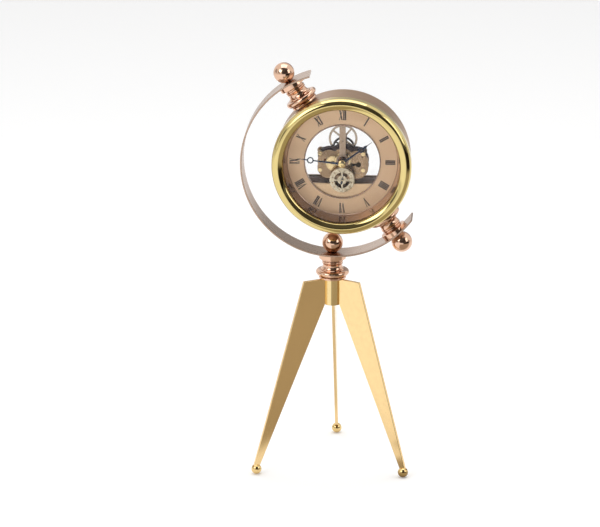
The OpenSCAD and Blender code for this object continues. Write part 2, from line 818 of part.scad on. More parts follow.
module rear_cover() {
    color(drum_tone) in_head(cover_z - cover_t) difference() {
        union() {
            cylinder(r = drum_r - 0.1, h = cover_t, $fn = 180);
            translate([0, 0, cover_t - e]) difference() {
                cylinder(r = drum_in - seat_gap, h = 1.2, $fn = 180);
                translate([0, 0, -e]) cylinder(r = drum_in - 0.75, h = 3, $fn = 180);
            }
        }
        difference() {
            translate([0, 0, -e]) cylinder(r = window_r, h = cover_t + 2 * e, $fn = 128);
            translate([-60, window_low - 120, -2 * e]) cube([120, 120, cover_t + 4 * e]);
        }
        translate([0, 0, -e]) linear_extrude(cover_t + 2 * e) door_outline(door_gap);
    }
}

module rear_window() {
    color([0.85, 0.93, 0.95, 0.3]) in_head(cover_z) difference() {
        cylinder(r = window_r + 3, h = 1, $fn = 128);
        translate([-60, base_top + 0.2 - 120, -e]) cube([120, 120, 3]);
        translate([setting_at[0], setting_at[1], -e]) cylinder(r = knob_r + 0.4, h = 3);
    }
}

module battery_door() {
    rib = 1.2;
    color(drum_tone) in_head(cover_z - cover_t) union() {
        linear_extrude(cover_t) door_outline(0);
        translate([cell_x - 6, cell_y + cell_r - 1.4, cover_t - e]) cube([12, rib, 0.9]);
        translate([cell_x - 6, cell_y - cell_r + 0.2, cover_t - e]) cube([12, rib, 0.9]);
    }
}

// ---------- wheel train ----------

// An arbor of radius r between the plates, with thinner pivots that run into both
module plate_arbor(r) {
    translate([0, 0, space_low + shake]) cylinder(r = r, h = train_h - 2 * shake);
    translate([0, 0, back_plate_z + 0.3]) cylinder(r = pivot_r, h = train_h + 2 * plate_t - 0.6);
}

module third_wheel() {
    color(brass) in_head() translate([third_at[0], third_at[1], 0]) union() {
        translate([0, 0, third_wheel_z]) difference() {
            toothed(third_n, train_m, wheel_t, third_phase);
            spoke_windows(1.9, 4.6, 5, 0.7, wheel_t);
        }
        translate([0, 0, centre_wheel_z - 0.3])
            toothed(third_pinion_n, train_m, third_wheel_z - centre_wheel_z + 0.4, third_pinion_phase);
        plate_arbor(0.4);
    }
}

module centre_wheel() {
    theta = bearing(third_at, centre_at);
    rear_phase = 0;
    color(brass) in_head() union() {
        translate([0, 0, centre_wheel_z]) difference() {
            toothed(centre_n, train_m, wheel_t,
                mesh_phase(theta, third_pinion_n, third_pinion_phase, centre_n));
            spoke_windows(2, 4.9, 4, 0.8, wheel_t);
        }
        translate([0, 0, rear_wheel_z]) toothed(rear_n, rear_m, 0.9, rear_phase);
        translate([0, 0, rear_wheel_z]) cylinder(r = 0.6, h = minute_hand_z - rear_wheel_z - 1);
    }
}

module seconds_wheel() {
    theta = bearing(third_at, seconds_at);
    color(brass) in_head() translate([seconds_at[0], seconds_at[1], 0]) union() {
        translate([0, 0, third_wheel_z - 0.2])
            toothed(seconds_pinion_n, train_m, 1.1,
                mesh_phase(theta, third_n, third_phase, seconds_pinion_n));
        translate([0, 0, seconds_wheel_z]) toothed(seconds_n, step_m, wheel_t, 0);
        translate([0, 0, space_low + shake])
            cylinder(r = 0.45, h = seconds_hand_z + hand_t - space_low - shake);
        translate([0, 0, back_plate_z + 0.3]) cylinder(r = pivot_r, h = 3);
    }
}

module intermediate_wheel() {
    theta = bearing(seconds_at, inter_at);
    color(brass) in_head() translate([inter_at[0], inter_at[1], 0]) union() {
        translate([0, 0, seconds_wheel_z - 0.2])
            toothed(step_pinion_n, step_m, 1.3, mesh_phase(theta, seconds_n, 0, step_pinion_n));
        translate([0, 0, inter_wheel_z]) toothed(inter_n, step_m, wheel_t, inter_phase);
        plate_arbor(0.4);
    }
}

module rotor() {
    theta = bearing(inter_at, rotor_at);
    color(steel) in_head() translate([rotor_at[0], rotor_at[1], 0]) union() {
        translate([0, 0, inter_wheel_z - 0.2])
            toothed(step_pinion_n, step_m, 1.1, mesh_phase(theta, inter_n, inter_phase, step_pinion_n));
        translate([0, 0, coil_z - rotor_magnet_len / 2]) cylinder(r = magnet_r, h = rotor_magnet_len);
        plate_arbor(0.4);
    }
}

module dark_wheel() {
    theta = bearing(centre_at, dark_at);
    color(dark) in_head() translate([dark_at[0], dark_at[1], 0]) union() {
        translate([0, 0, dark_wheel_z]) difference() {
            toothed(dark_n, dark_m, wheel_t, 0);
            spoke_windows(2.2, 6.6, 5, 1, wheel_t);
        }
        translate([0, 0, dark_wheel_z + wheel_t - e])
            toothed(dark_pinion_n, rear_m, back_plate_z - 0.3 - dark_wheel_z - wheel_t,
                mesh_phase(theta, rear_n, 0, dark_pinion_n));
        translate([0, 0, dark_wheel_z]) cylinder(r = 0.5, h = space_low + 0.5 - dark_wheel_z);
        translate([0, 0, space_low + 0.1]) cylinder(r = 0.9, h = 0.5);
    }
}

module spoked_wheel() {
    theta = bearing(dark_at, spoked_at);
    rim_w = 1.5;
    color(brass) in_head() translate([spoked_at[0], spoked_at[1], 0]) union() {
        translate([0, 0, spoked_z]) difference() {
            cylinder(r = spoked_r, h = 0.8, $fn = 128);
            rotate(51) spoke_windows(2.1, spoked_r - rim_w, 4, 1.3, 0.8);
        }
        translate([0, 0, dark_wheel_z - 0.2])
            toothed(spoked_pinion_n, dark_m, 1.2, mesh_phase(theta, dark_n, 0, spoked_pinion_n));
        translate([0, 0, dark_wheel_z - 0.2]) cylinder(r = 0.45, h = bar_back + 0.9 - dark_wheel_z);
    }
}

// ---------- motion work and hands ----------

module cannon_pinion() {
    color(brass) in_head() difference() {
        union() {
            translate([0, 0, motion_z]) toothed(cannon_n, minute_m, 0.8, cannon_phase);
            translate([0, 0, motion_z]) cylinder(r = 1.4, h = minute_hand_z - motion_z);
            translate([0, 0, minute_hand_z - e]) cylinder(r = 1, h = hand_t + nut_dome / 2);
        }
        translate([0, 0, motion_z - e]) cylinder(r = 0.6 + fit, h = minute_hand_z - motion_z - 0.5);
    }
}

module hand_nut() {
    color(gold) in_head(minute_hand_z + hand_t) difference() {
        intersection() {
            translate([0, 0, -1.9]) sphere(r = 3.4);
            cylinder(r = 2.85, h = nut_dome);
        }
        translate([0, 0, -e]) cylinder(r = 1 + seat_gap, h = nut_dome / 2 + 2 * e);
    }
}

module minute_hand() {
    ring_at = 22.5;
    color(dark) in_head(minute_hand_z) rotate(-minute_angle) difference() {
        union() {
            linear_extrude(hand_t)
                polygon([[-0.9, 0], [-0.45, ring_at - 2], [0.45, ring_at - 2], [0.9, 0]]);
            translate([0, ring_at, 0]) cylinder(r = 2.4, h = hand_t);
            linear_extrude(hand_t)
                polygon([[-0.35, ring_at + 2], [-0.08, minute_len], [0.08, minute_len],
                    [0.35, ring_at + 2]]);
            cylinder(r = 2.2, h = hand_t);
        }
        translate([0, 0, -e]) cylinder(r = 1 + seat_gap, h = 1);
        translate([0, ring_at, -e]) cylinder(r = 1.6, h = 1);
    }
}

module hour_wheel() {
    theta = bearing(setting_at, centre_at);
    color(brass) in_head() difference() {
        union() {
            translate([0, 0, hour_wheel_z])
                toothed(hour_n, hour_m, wheel_t, mesh_phase(theta, minute_pinion_n, setting_phase, hour_n));
            translate([0, 0, hour_wheel_z]) cylinder(r = 2.1, h = hour_hand_z - hour_wheel_z);
            translate([0, 0, hour_wheel_z]) cylinder(r = 1.8, h = hour_hand_z + hand_t - hour_wheel_z);
        }
        translate([0, 0, hour_wheel_z - e]) cylinder(r = 1.4 + fit,
            h = hour_hand_z + hand_t - hour_wheel_z + 2 * e);
    }
}

module hour_hand() {
    eye_at = 18;
    color(dark) in_head(hour_hand_z) rotate(-hour_angle) difference() {
        union() {
            linear_extrude(hand_t) polygon([[-0.9, 0], [-0.5, eye_at - 2], [0.5, eye_at - 2], [0.9, 0]]);
            translate([0, eye_at - 1, 0]) cylinder(r = 2.2, h = hand_t);
            linear_extrude(hand_t)
                polygon([[-1.1, eye_at + 2], [-0.1, hour_len], [0.1, hour_len],
                    [1.1, eye_at + 2], [0, eye_at + 0.6]]);
            cylinder(r = 2.9, h = hand_t);
        }
        translate([0, 0, -e]) cylinder(r = 1.8 + seat_gap, h = 1);
        translate([0, eye_at - 1, -e]) cylinder(r = 1.3, h = 1);
    }
}

module minute_wheel() {
    theta = bearing(centre_at, setting_at);
    knob_z = cover_z - cover_t - 3.6;
    color(brass) in_head() translate([setting_at[0], setting_at[1], 0]) union() {
        translate([0, 0, motion_z])
            toothed(minute_n, minute_m, wheel_t, mesh_phase(theta, cannon_n, cannon_phase, minute_n));
        translate([0, 0, motion_z + wheel_t - e]) toothed(minute_pinion_n, hour_m, 1.2, setting_phase);
        translate([0, 0, knob_z + 1]) cylinder(r = 0.7, h = motion_z + 1.5 - knob_z);
        translate([0, 0, knob_z]) cylinder(r = knob_r, h = 3);
    }
}

module seconds_hand() {
    color(dark) in_head(seconds_hand_z) translate([seconds_at[0], seconds_at[1], 0])
        rotate(-seconds_angle) difference() {
            union() {
                cylinder(r = 0.9, h = hand_t);
                linear_extrude(hand_t) polygon([[-0.35, 0], [-0.1, 5.2], [0.1, 5.2], [0.35, 0]]);
                translate([0, -2.2, 0]) cylinder(r = 0.8, h = hand_t);
                linear_extrude(hand_t) polygon([[-0.8, -2.2], [-0.3, 0], [0.3, 0], [0.8, -2.2]]);
            }
            translate([0, 0, -e]) cylinder(r = 0.45 + seat_gap, h = 1);
        }
}

leg_left();
leg_right();
leg_back();
foot_left();
foot_right();
foot_back();
leg_hub();
centre_stud();
base_baluster();
ring_strip();
ball_nuts();
top_baluster();
lower_baluster();
pivot_studs();
pivot_washers();
pivot_nuts();
case_drum();
pivot_bushes();
bezel();
glass_gasket();
front_glass();
dial_spacer();
dial_ring();
dial_numerals();
dial_inner_rim();
retaining_ring();
retaining_screws();
bridge_bar();
centre_bush();
lower_plate();
seconds_ring();
front_plate();
gear_cover();
back_plate();
pillars();
bridge_posts();
plate_screws();
movement_base();
battery();
battery_contacts();
circuit_board();
coil_winding();
stator();
rear_cover();
rear_window();
battery_door();
rotor();
intermediate_wheel();
seconds_wheel();
seconds_hand();
third_wheel();
centre_wheel();
dark_wheel();
spoked_wheel();
cannon_pinion();
hand_nut();
minute_hand();
hour_wheel();
hour_hand();
minute_wheel();
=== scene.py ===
"""Visual model of a skeleton desk clock that swivels inside an open ring on a tripod.

Sizes in the classes are millimetres; each finished mesh is put into the shared frame in metres.
"""

import json
import logging
import math
from contextlib import contextmanager
from dataclasses import dataclass, field
from enum import Enum
from typing import Callable, Iterator, Sequence

import bpy
import bmesh
from mathutils import Matrix, Vector

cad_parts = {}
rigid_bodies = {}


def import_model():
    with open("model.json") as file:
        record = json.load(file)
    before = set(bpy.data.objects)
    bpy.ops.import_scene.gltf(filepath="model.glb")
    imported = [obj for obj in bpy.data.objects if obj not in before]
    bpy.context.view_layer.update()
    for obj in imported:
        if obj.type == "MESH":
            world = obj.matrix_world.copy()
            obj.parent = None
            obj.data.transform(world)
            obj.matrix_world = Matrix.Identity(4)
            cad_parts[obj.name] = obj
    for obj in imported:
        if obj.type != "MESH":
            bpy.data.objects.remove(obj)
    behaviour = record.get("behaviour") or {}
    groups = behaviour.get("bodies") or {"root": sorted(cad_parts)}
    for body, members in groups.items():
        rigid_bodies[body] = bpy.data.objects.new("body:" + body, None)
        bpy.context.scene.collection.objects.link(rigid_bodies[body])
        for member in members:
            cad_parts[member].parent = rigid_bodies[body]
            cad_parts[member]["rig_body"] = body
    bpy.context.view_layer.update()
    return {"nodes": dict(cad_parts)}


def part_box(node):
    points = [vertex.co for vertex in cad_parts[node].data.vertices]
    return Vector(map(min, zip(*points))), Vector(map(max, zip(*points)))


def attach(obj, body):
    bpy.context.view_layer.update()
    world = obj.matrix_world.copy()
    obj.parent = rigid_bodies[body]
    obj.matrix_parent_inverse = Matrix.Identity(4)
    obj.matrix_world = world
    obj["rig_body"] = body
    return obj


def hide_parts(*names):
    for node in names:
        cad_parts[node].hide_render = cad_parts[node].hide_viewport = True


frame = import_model()

log = logging.getLogger("desk_clock")
MM = 0.001
WELD = 0.0005  # points closer than this, in millimetres, are one
DRUM_R = 47.8
DRUM_BACK = 9.0
SECONDS_Y = -12.7
Point = tuple[float, float, float]
Point2 = tuple[float, float]
Colour = tuple[float, float, float]
Obj = bpy.types.Object
Tree = bpy.types.NodeTree
Node = bpy.types.Node
Socket = bpy.types.NodeSocket
Outputs = bpy.types.bpy_prop_collection


class Join(Enum):
    """How a second solid is put into the first."""

    CUT = "DIFFERENCE"
    ADD = "UNION"
    KEEP = "INTERSECT"


class End(Enum):
    """Which end of the slanted pivot axis a fitting sits on."""

    TOP = 1
    LOW = -1


class Numeral(Enum):
    """The twelve hour marks, clockwise from the top."""

    XII = 0
    I = 1
    II = 2
    III = 3
    IIII = 4
    V = 5
    VI = 6
    VII = 7
    VIII = 8
    IX = 9
    X = 10
    XI = 11


# ---------------------------------------------------------------- modelling bench


def quiet() -> None:
    """Leave edit mode and deselect everything."""
    if bpy.context.object is not None and bpy.context.object.mode != "OBJECT":
        bpy.ops.object.mode_set(mode="OBJECT")
    bpy.ops.object.select_all(action="DESELECT")


def pick(obj: Obj) -> None:
    """Make one object the only selected and active one."""
    quiet()
    obj.select_set(True)
    bpy.context.view_layer.objects.active = obj


@contextmanager
def editing(obj: Obj) -> Iterator[Obj]:
    """Edit one object with all of it selected, and leave edit mode afterwards.

    Args:
        obj: the object to work on.

    Returns:
        The same object, in edit mode.
    """
    pick(obj)
    bpy.ops.object.mode_set(mode="EDIT")
    bpy.ops.mesh.select_all(action="SELECT")
    yield obj
    bpy.ops.object.mode_set(mode="OBJECT")


def chain(name: str, points: Sequence[Point], closed: bool = True) -> Obj:
    """Draw a run of edges by extruding one vertex from point to point.

    Args:
        name: name of the new object.
        points: corners in order.
        closed: whether the last point is joined to the first.

    Returns:
        The new object, with edges only.
    """
    quiet()
    bpy.ops.mesh.primitive_plane_add(size=1, location=(0, 0, 0))
    obj = bpy.context.object
    obj.name = name
    bpy.ops.object.mode_set(mode="EDIT")
    bpy.ops.mesh.select_mode(type="VERT")
    bpy.ops.mesh.select_all(action="SELECT")
    bpy.ops.mesh.merge(type="CENTER")
    bpy.ops.transform.translate(value=points[0])
    for before, after in zip(points, points[1:]):
        step = Vector(after) - Vector(before)
        bpy.ops.mesh.extrude_region_move(TRANSFORM_OT_translate={"value": step})
    if closed:
        shape = bmesh.from_edit_mesh(obj.data)
        shape.verts.ensure_lookup_table()
        ends = (Vector(points[0]), Vector(points[-1]))
        for vert in shape.verts:
            vert.select_set(any((vert.co - end).length < 1e-5 for end in ends))
        bmesh.update_edit_mesh(obj.data)
        bpy.ops.mesh.edge_face_add()
    bpy.ops.object.mode_set(mode="OBJECT")
    return obj


def arc(cx: float, cy: float, r: float, a0: float, a1: float, n: int = 12) -> list[Point2]:
    """Points of an arc about (cx, cy) from angle a0 to a1, in degrees.

    Args:
        cx: centre, first coordinate.
        cy: centre, second coordinate.
        r: radius.
        a0: first angle.
        a1: last angle.
        n: how many steps.

    Returns:
        The points, both ends included.
    """
    steps = [math.radians(a0 + (a1 - a0) * i / n) for i in range(n + 1)]
    return [(cx + r * math.cos(a), cy + r * math.sin(a)) for a in steps]


def lathe(name: str, profile: Sequence[Point2], steps: int = 128, closed: bool = True) -> Obj:
    """Turn a profile of (radius, height) points about the local Z axis.

    Args:
        name: name of the new object.
        profile: points in order; an open profile starts and ends on the axis.
        steps: how many flats a full turn has.
        closed: whether the profile is a loop that stays off the axis.

    Returns:
        The turned object, closed and facing outwards.
    """
    obj = chain(name, [(r, 0.0, z) for r, z in profile], closed)
    with editing(obj):
        bpy.ops.mesh.spin(steps=steps, angle=math.tau, center=(0, 0, 0), axis=(0, 0, 1))
        bpy.ops.mesh.select_all(action="SELECT")
        bpy.ops.mesh.remove_doubles(threshold=WELD)
        bpy.ops.mesh.normals_make_consistent(inside=False)
    return obj


def plate(name: str, outline: Sequence[Point2], z: float, thick: float) -> Obj:
    """Cut a flat plate to an outline in the local XY plane, from z upwards.

    Args:
        name: name of the new object.
        outline: corners in order, not crossing.
        z: height of the lower face.
        thick: thickness.

    Returns:
        The plate, closed and facing outwards.
    """
    obj = chain(name, [(x, y, z) for x, y in outline])
    with editing(obj):
        bpy.ops.mesh.edge_face_add()
        bpy.ops.mesh.extrude_region_move(TRANSFORM_OT_translate={"value": (0, 0, thick)})
        bpy.ops.mesh.select_all(action="SELECT")
        bpy.ops.mesh.normals_make_consistent(inside=False)
    return obj


def disc(name: str, x: float, y: float, r: float, z: float, thick: float, sides: int = 64) -> Obj:
    """Make a round blank in the local XY plane by extruding a filled circle.

    Args:
        name: name of the new object.
        x: centre, to the right.
        y: centre, upwards.
        r: radius.
        z: height of the lower face.
        thick: thickness.
        sides: how many flats it has.

    Returns:
        The closed disc.
    """
    quiet()
    bpy.ops.mesh.primitive_circle_add(vertices=sides, radius=r, fill_type="NGON", location=(x, y, z))
    obj = bpy.context.object
    obj.name = name
    bpy.ops.object.transform_apply(location=True, rotation=True, scale=True)
    with editing(obj):
        bpy.ops.mesh.extrude_region_move(TRANSFORM_OT_translate={"value": (0, 0, thick)})
        bpy.ops.mesh.select_all(action="SELECT")
        bpy.ops.mesh.normals_make_consistent(inside=False)
    return obj


def block(name: str, low: Point, high: Point) -> Obj:
    """Extrude a rectangular blank between two corners."""
    corners = [(low[0], low[1]), (high[0], low[1]), (high[0], high[1]), (low[0], high[1])]
    return plate(name, corners, low[2], high[2] - low[2])


def combine(obj: Obj, other: Obj, how: Join) -> Obj:
    """Add, cut or keep one solid by another, and use the other one up.

    Args:
        obj: the solid that stays.
        other: the solid that is used up.
        how: which operation.

    Returns:
        The first object, changed.
    """
    pick(obj)
    step = obj.modifiers.new("combine", "BOOLEAN")
    step.operation = how.value
    step.object = other
    step.solver = "EXACT"
    bpy.ops.object.modifier_apply(modifier=step.name)
    bpy.data.objects.remove(other, do_unlink=True)
    return obj


def soften(obj: Obj, width: float, segments: int = 2, angle: float = 35.0) -> Obj:
    """Round every edge sharper than an angle.

    Args:
        obj: the object to work on.
        width: width of the rounding.
        segments: how many facets it has.
        angle: only edges that turn by more degrees are rounded.

    Returns:
        The same object.
    """
    pick(obj)
    step = obj.modifiers.new("soften", "BEVEL")
    step.width = width
    step.segments = segments
    step.limit_method = "ANGLE"
    step.angle_limit = math.radians(angle)
    step.use_clamp_overlap = True
    bpy.ops.object.modifier_apply(modifier=step.name)
    return obj


def shade(obj: Obj, angle: float = 32.0) -> Obj:
    """Shade smoothly, with sharp edges above an angle and large faces kept flat.

    Args:
        obj: the object to shade.
        angle: edges that turn by more degrees than this stay sharp.

    Returns:
        The same object.
    """
    pick(obj)
    bpy.ops.object.shade_smooth_by_angle(angle=math.radians(angle))
    step = obj.modifiers.new("flatten", "WEIGHTED_NORMAL")
    step.mode = "FACE_AREA"
    step.weight = 50
    step.keep_sharp = True
    bpy.ops.object.modifier_apply(modifier=step.name)
    return obj


def spun(degrees: float, axis: str) -> Matrix:
    """Return a rotation about "X", "Y" or "Z"."""
    return Matrix.Rotation(math.radians(degrees), 4, axis)


def put(obj: Obj, place: Matrix) -> Obj:
    """Move the mesh itself by a placement, so that the object stays at the origin.

    Args:
        obj: the object to work on.
        place: the placement.

    Returns:
        The same object.
    """
    pick(obj)
    obj.matrix_world = place @ obj.matrix_world
    bpy.ops.object.transform_apply(location=True, rotation=True, scale=True)
    return obj


def twin(obj: Obj, name: str) -> Obj:
    """Copy an object with its own mesh.

    Args:
        obj: the object to copy.
        name: name of the copy.

    Returns:
        The copy.
    """
    copy = obj.copy()
    copy.data = obj.data.copy()
    copy.name = name
    bpy.context.scene.collection.objects.link(copy)
    return copy


def gather(name: str, parts: Sequence[Obj]) -> Obj:
    """Join several objects into the first one.

    Args:
        name: name of the result.
        parts: the objects; the first one stays.

    Returns:
        The joined object.
    """
    quiet()
    for part in parts:
        part.select_set(True)
    bpy.context.view_layer.objects.active = parts[0]
    if len(parts) > 1:
        bpy.ops.object.join()
    parts[0].name = name
    return parts[0]


# ---------------------------------------------------------------- places in the shared frame


@dataclass(frozen=True)
class Places:
    """Where the main axes of the clock lie, read from the CAD nodes."""

    lean: float = 34.5
    head_offset: float = 6.3

    def cad_mid(self, node: str) -> Vector:
        """Middle of a CAD node's box, in millimetres."""
        low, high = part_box(node)
        return (low + high) / (2 * MM)

    def low_z(self, node: str) -> float:
        """Lowest height of a CAD node, in millimetres."""
        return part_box(node)[0].z / MM

    def head(self) -> Matrix:
        """Dial plane (x right, y up, z forward, mm) to the shared frame."""
        mid = self.cad_mid("bezel")
        turn = spun(90, "X")
        return Matrix.Translation((mid.x * MM, 0, mid.z * MM)) @ turn @ Matrix.Scale(MM, 4)

    def ring(self) -> Matrix:
        """The ring's centre, its plane laid out as the dial's is.

        Returns:
            The placement, from millimetres to the shared frame.
        """
        mid = self.cad_mid("bezel")
        along = math.radians(self.lean)
        x = mid.x - self.head_offset * math.cos(along)
        z = mid.z - self.head_offset * math.sin(along)
        turn = spun(90, "X")
        return Matrix.Translation((x * MM, 0, z * MM)) @ turn @ Matrix.Scale(MM, 4)

    def pivot(self, end: End) -> Matrix:
        """The pivot axis, with local Z pointing away from the head's middle (mm).

        Args:
            end: which of the two pivots.

        Returns:
            The placement, from millimetres to the shared frame.
        """
        mid = self.cad_mid("bezel")
        angle = -self.lean if end is End.TOP else 180 - self.lean
        turn = spun(angle, "Y")
        return Matrix.Translation((mid.x * MM, 0, mid.z * MM)) @ turn @ Matrix.Scale(MM, 4)

    def upright(self, angle: float = 0.0, z: float = 0.0) -> Matrix:
        """The post's vertical axis at a height (mm), turned about itself."""
        turn = spun(angle, "Z")
        return Matrix.Translation((0, 0, z * MM)) @ turn @ Matrix.Scale(MM, 4)


def stand_for(obj: Obj, finish: "Finish", *nodes: str) -> Obj:
    """Dress a finished piece and let it stand for CAD nodes of one body.

    Args:
        obj: the piece, already in the shared frame.
        finish: its material.
        nodes: the CAD nodes it replaces.

    Returns:
        The same object.
    """
    obj.data.materials.clear()
    obj.data.materials.append(finish.material())
    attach(obj, frame["nodes"][nodes[0]]["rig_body"])
    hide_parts(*nodes)
    log.info("%s stands for %s with %s, %d faces", obj.name, ", ".join(nodes), finish.name,
             len(obj.data.polygons))
    return obj


def on_head(places: Places, pieces: "Sequence[tuple[Callable[[], Obj], Finish, str]]") -> None:
    """Build pieces in the dial's axes, put each on the head and let it stand for its node.

    Args:
        places: where the clock's axes lie.
        pieces: for each piece the method that builds it, its finish and its CAD node.
    """
    head = places.head()
    for make, finish, node in pieces:
        stand_for(put(make(), head), finish, node)


# ---------------------------------------------------------------- shared effects


class Wiring:
    """Short calls for adding and linking nodes in one tree."""

    def __init__(self, tree: Tree) -> None:
        """Keep the tree that nodes go into."""
        self.tree = tree

    def link(self, source: Socket, target: Socket) -> None:
        """Join an output to an input."""
        self.tree.links.new(source, target)

    def give(self, target: Socket, value: object) -> None:
        """Link a socket to an input, or set the input to a constant.

        Args:
            target: the input.
            value: a socket, a constant, or None to leave it alone.
        """
        if isinstance(value, Socket):
            self.link(value, target)
        elif value is not None:
            target.default_value = value

    def feed(self, node: Node, **values: object) -> Node:
        """Set a node's properties and its inputs.

        Args:
            node: the node.
            values: properties by name; inputs by title with spaces as _, each a socket or a constant.

        Returns:
            The same node.
        """
        for key, value in values.items():
            if hasattr(node, key):
                setattr(node, key, value)
            else:
                self.give(node.inputs[key.replace("_", " ")], value)
        return node

    def add(self, kind: str, **values: object) -> Node:
        """Add a node and feed it."""
        return self.feed(self.tree.nodes.new(kind), **values)

    def math(self, kind: str, a: object, b: object = None, clamp: bool = False) -> Socket:
        """Add a Math node whose inputs are sockets or numbers.

        Args:
            kind: operation name.
            a: first socket or number.
            b: second socket or number, if any.
            clamp: whether the answer stays within 0 and 1.

        Returns:
            The answer's socket.
        """
        node = self.add("ShaderNodeMath", operation=kind, use_clamp=clamp)
        self.give(node.inputs[0], a)
        self.give(node.inputs[1], b)
        return node.outputs[0]

    def times(self, a: object, b: object) -> Socket:
        """Multiply two sockets or numbers."""
        return self.math("MULTIPLY", a, b)

    def vector(self, kind: str, a: object, b: object = None) -> Outputs:
        """Add a Vector Math node.

        Args:
            kind: operation name.
            a: first socket or vector.
            b: second socket or vector, if any.

        Returns:
            The node's outputs.
        """
        node = self.add("ShaderNodeVectorMath", operation=kind)
        self.give(node.inputs[0], a)
        self.give(node.inputs[1], b)
        return node.outputs

    def spread(self, value: Socket, low: object, high: object, to_low: float = 0.0,
               to_high: float = 1.0, smooth: bool = False) -> Socket:
        """Map a range of values to another, clamped.

        Args:
            value: the value to map.
            low: start of its range.
            high: end of its range.
            to_low: answer at low.
            to_high: answer at high.
            smooth: whether the answer eases in and out.

        Returns:
            The answer's socket.
        """
        node = self.add("ShaderNodeMapRange", interpolation_type="SMOOTHSTEP" if smooth else "LINEAR",
                        Value=value,
                        From_Min=low, From_Max=high, To_Min=to_low, To_Max=to_high)
        return node.outputs["Result"]

    def noise(self, where: Socket, scale: object, detail: float, rough: float = 0.5,
              twist: float = 0.0) -> Socket:
        """Add a noise texture.

        Args:
            where: its coordinates.
            scale: how fine it is, a socket or a number.
            detail: how many octaves it adds.
            rough: how strong the finer octaves are.
            twist: how much it is distorted.

        Returns:
            The noise's value.
        """
        node = self.add("ShaderNodeTexNoise", Vector=where, Scale=scale, Detail=detail, Roughness=rough,
                        Distortion=twist)
        return node.outputs["Fac"]

    def blend(self, mask: Socket, a: object, b: object) -> Socket:
        """Mix two colours, given as sockets or as triples, by a mask.

        Args:
            mask: 0 for the first colour, 1 for the second.
            a: first colour.
            b: second colour.

        Returns:
            The mixed colour.
        """
        node = self.add("ShaderNodeMix", data_type="RGBA")
        self.link(mask, node.inputs["Factor"])
        for target, value in ((node.inputs[6], a), (node.inputs[7], b)):
            self.give(target, (*value, 1.0) if isinstance(value, tuple) else value)
        return node.outputs[2]


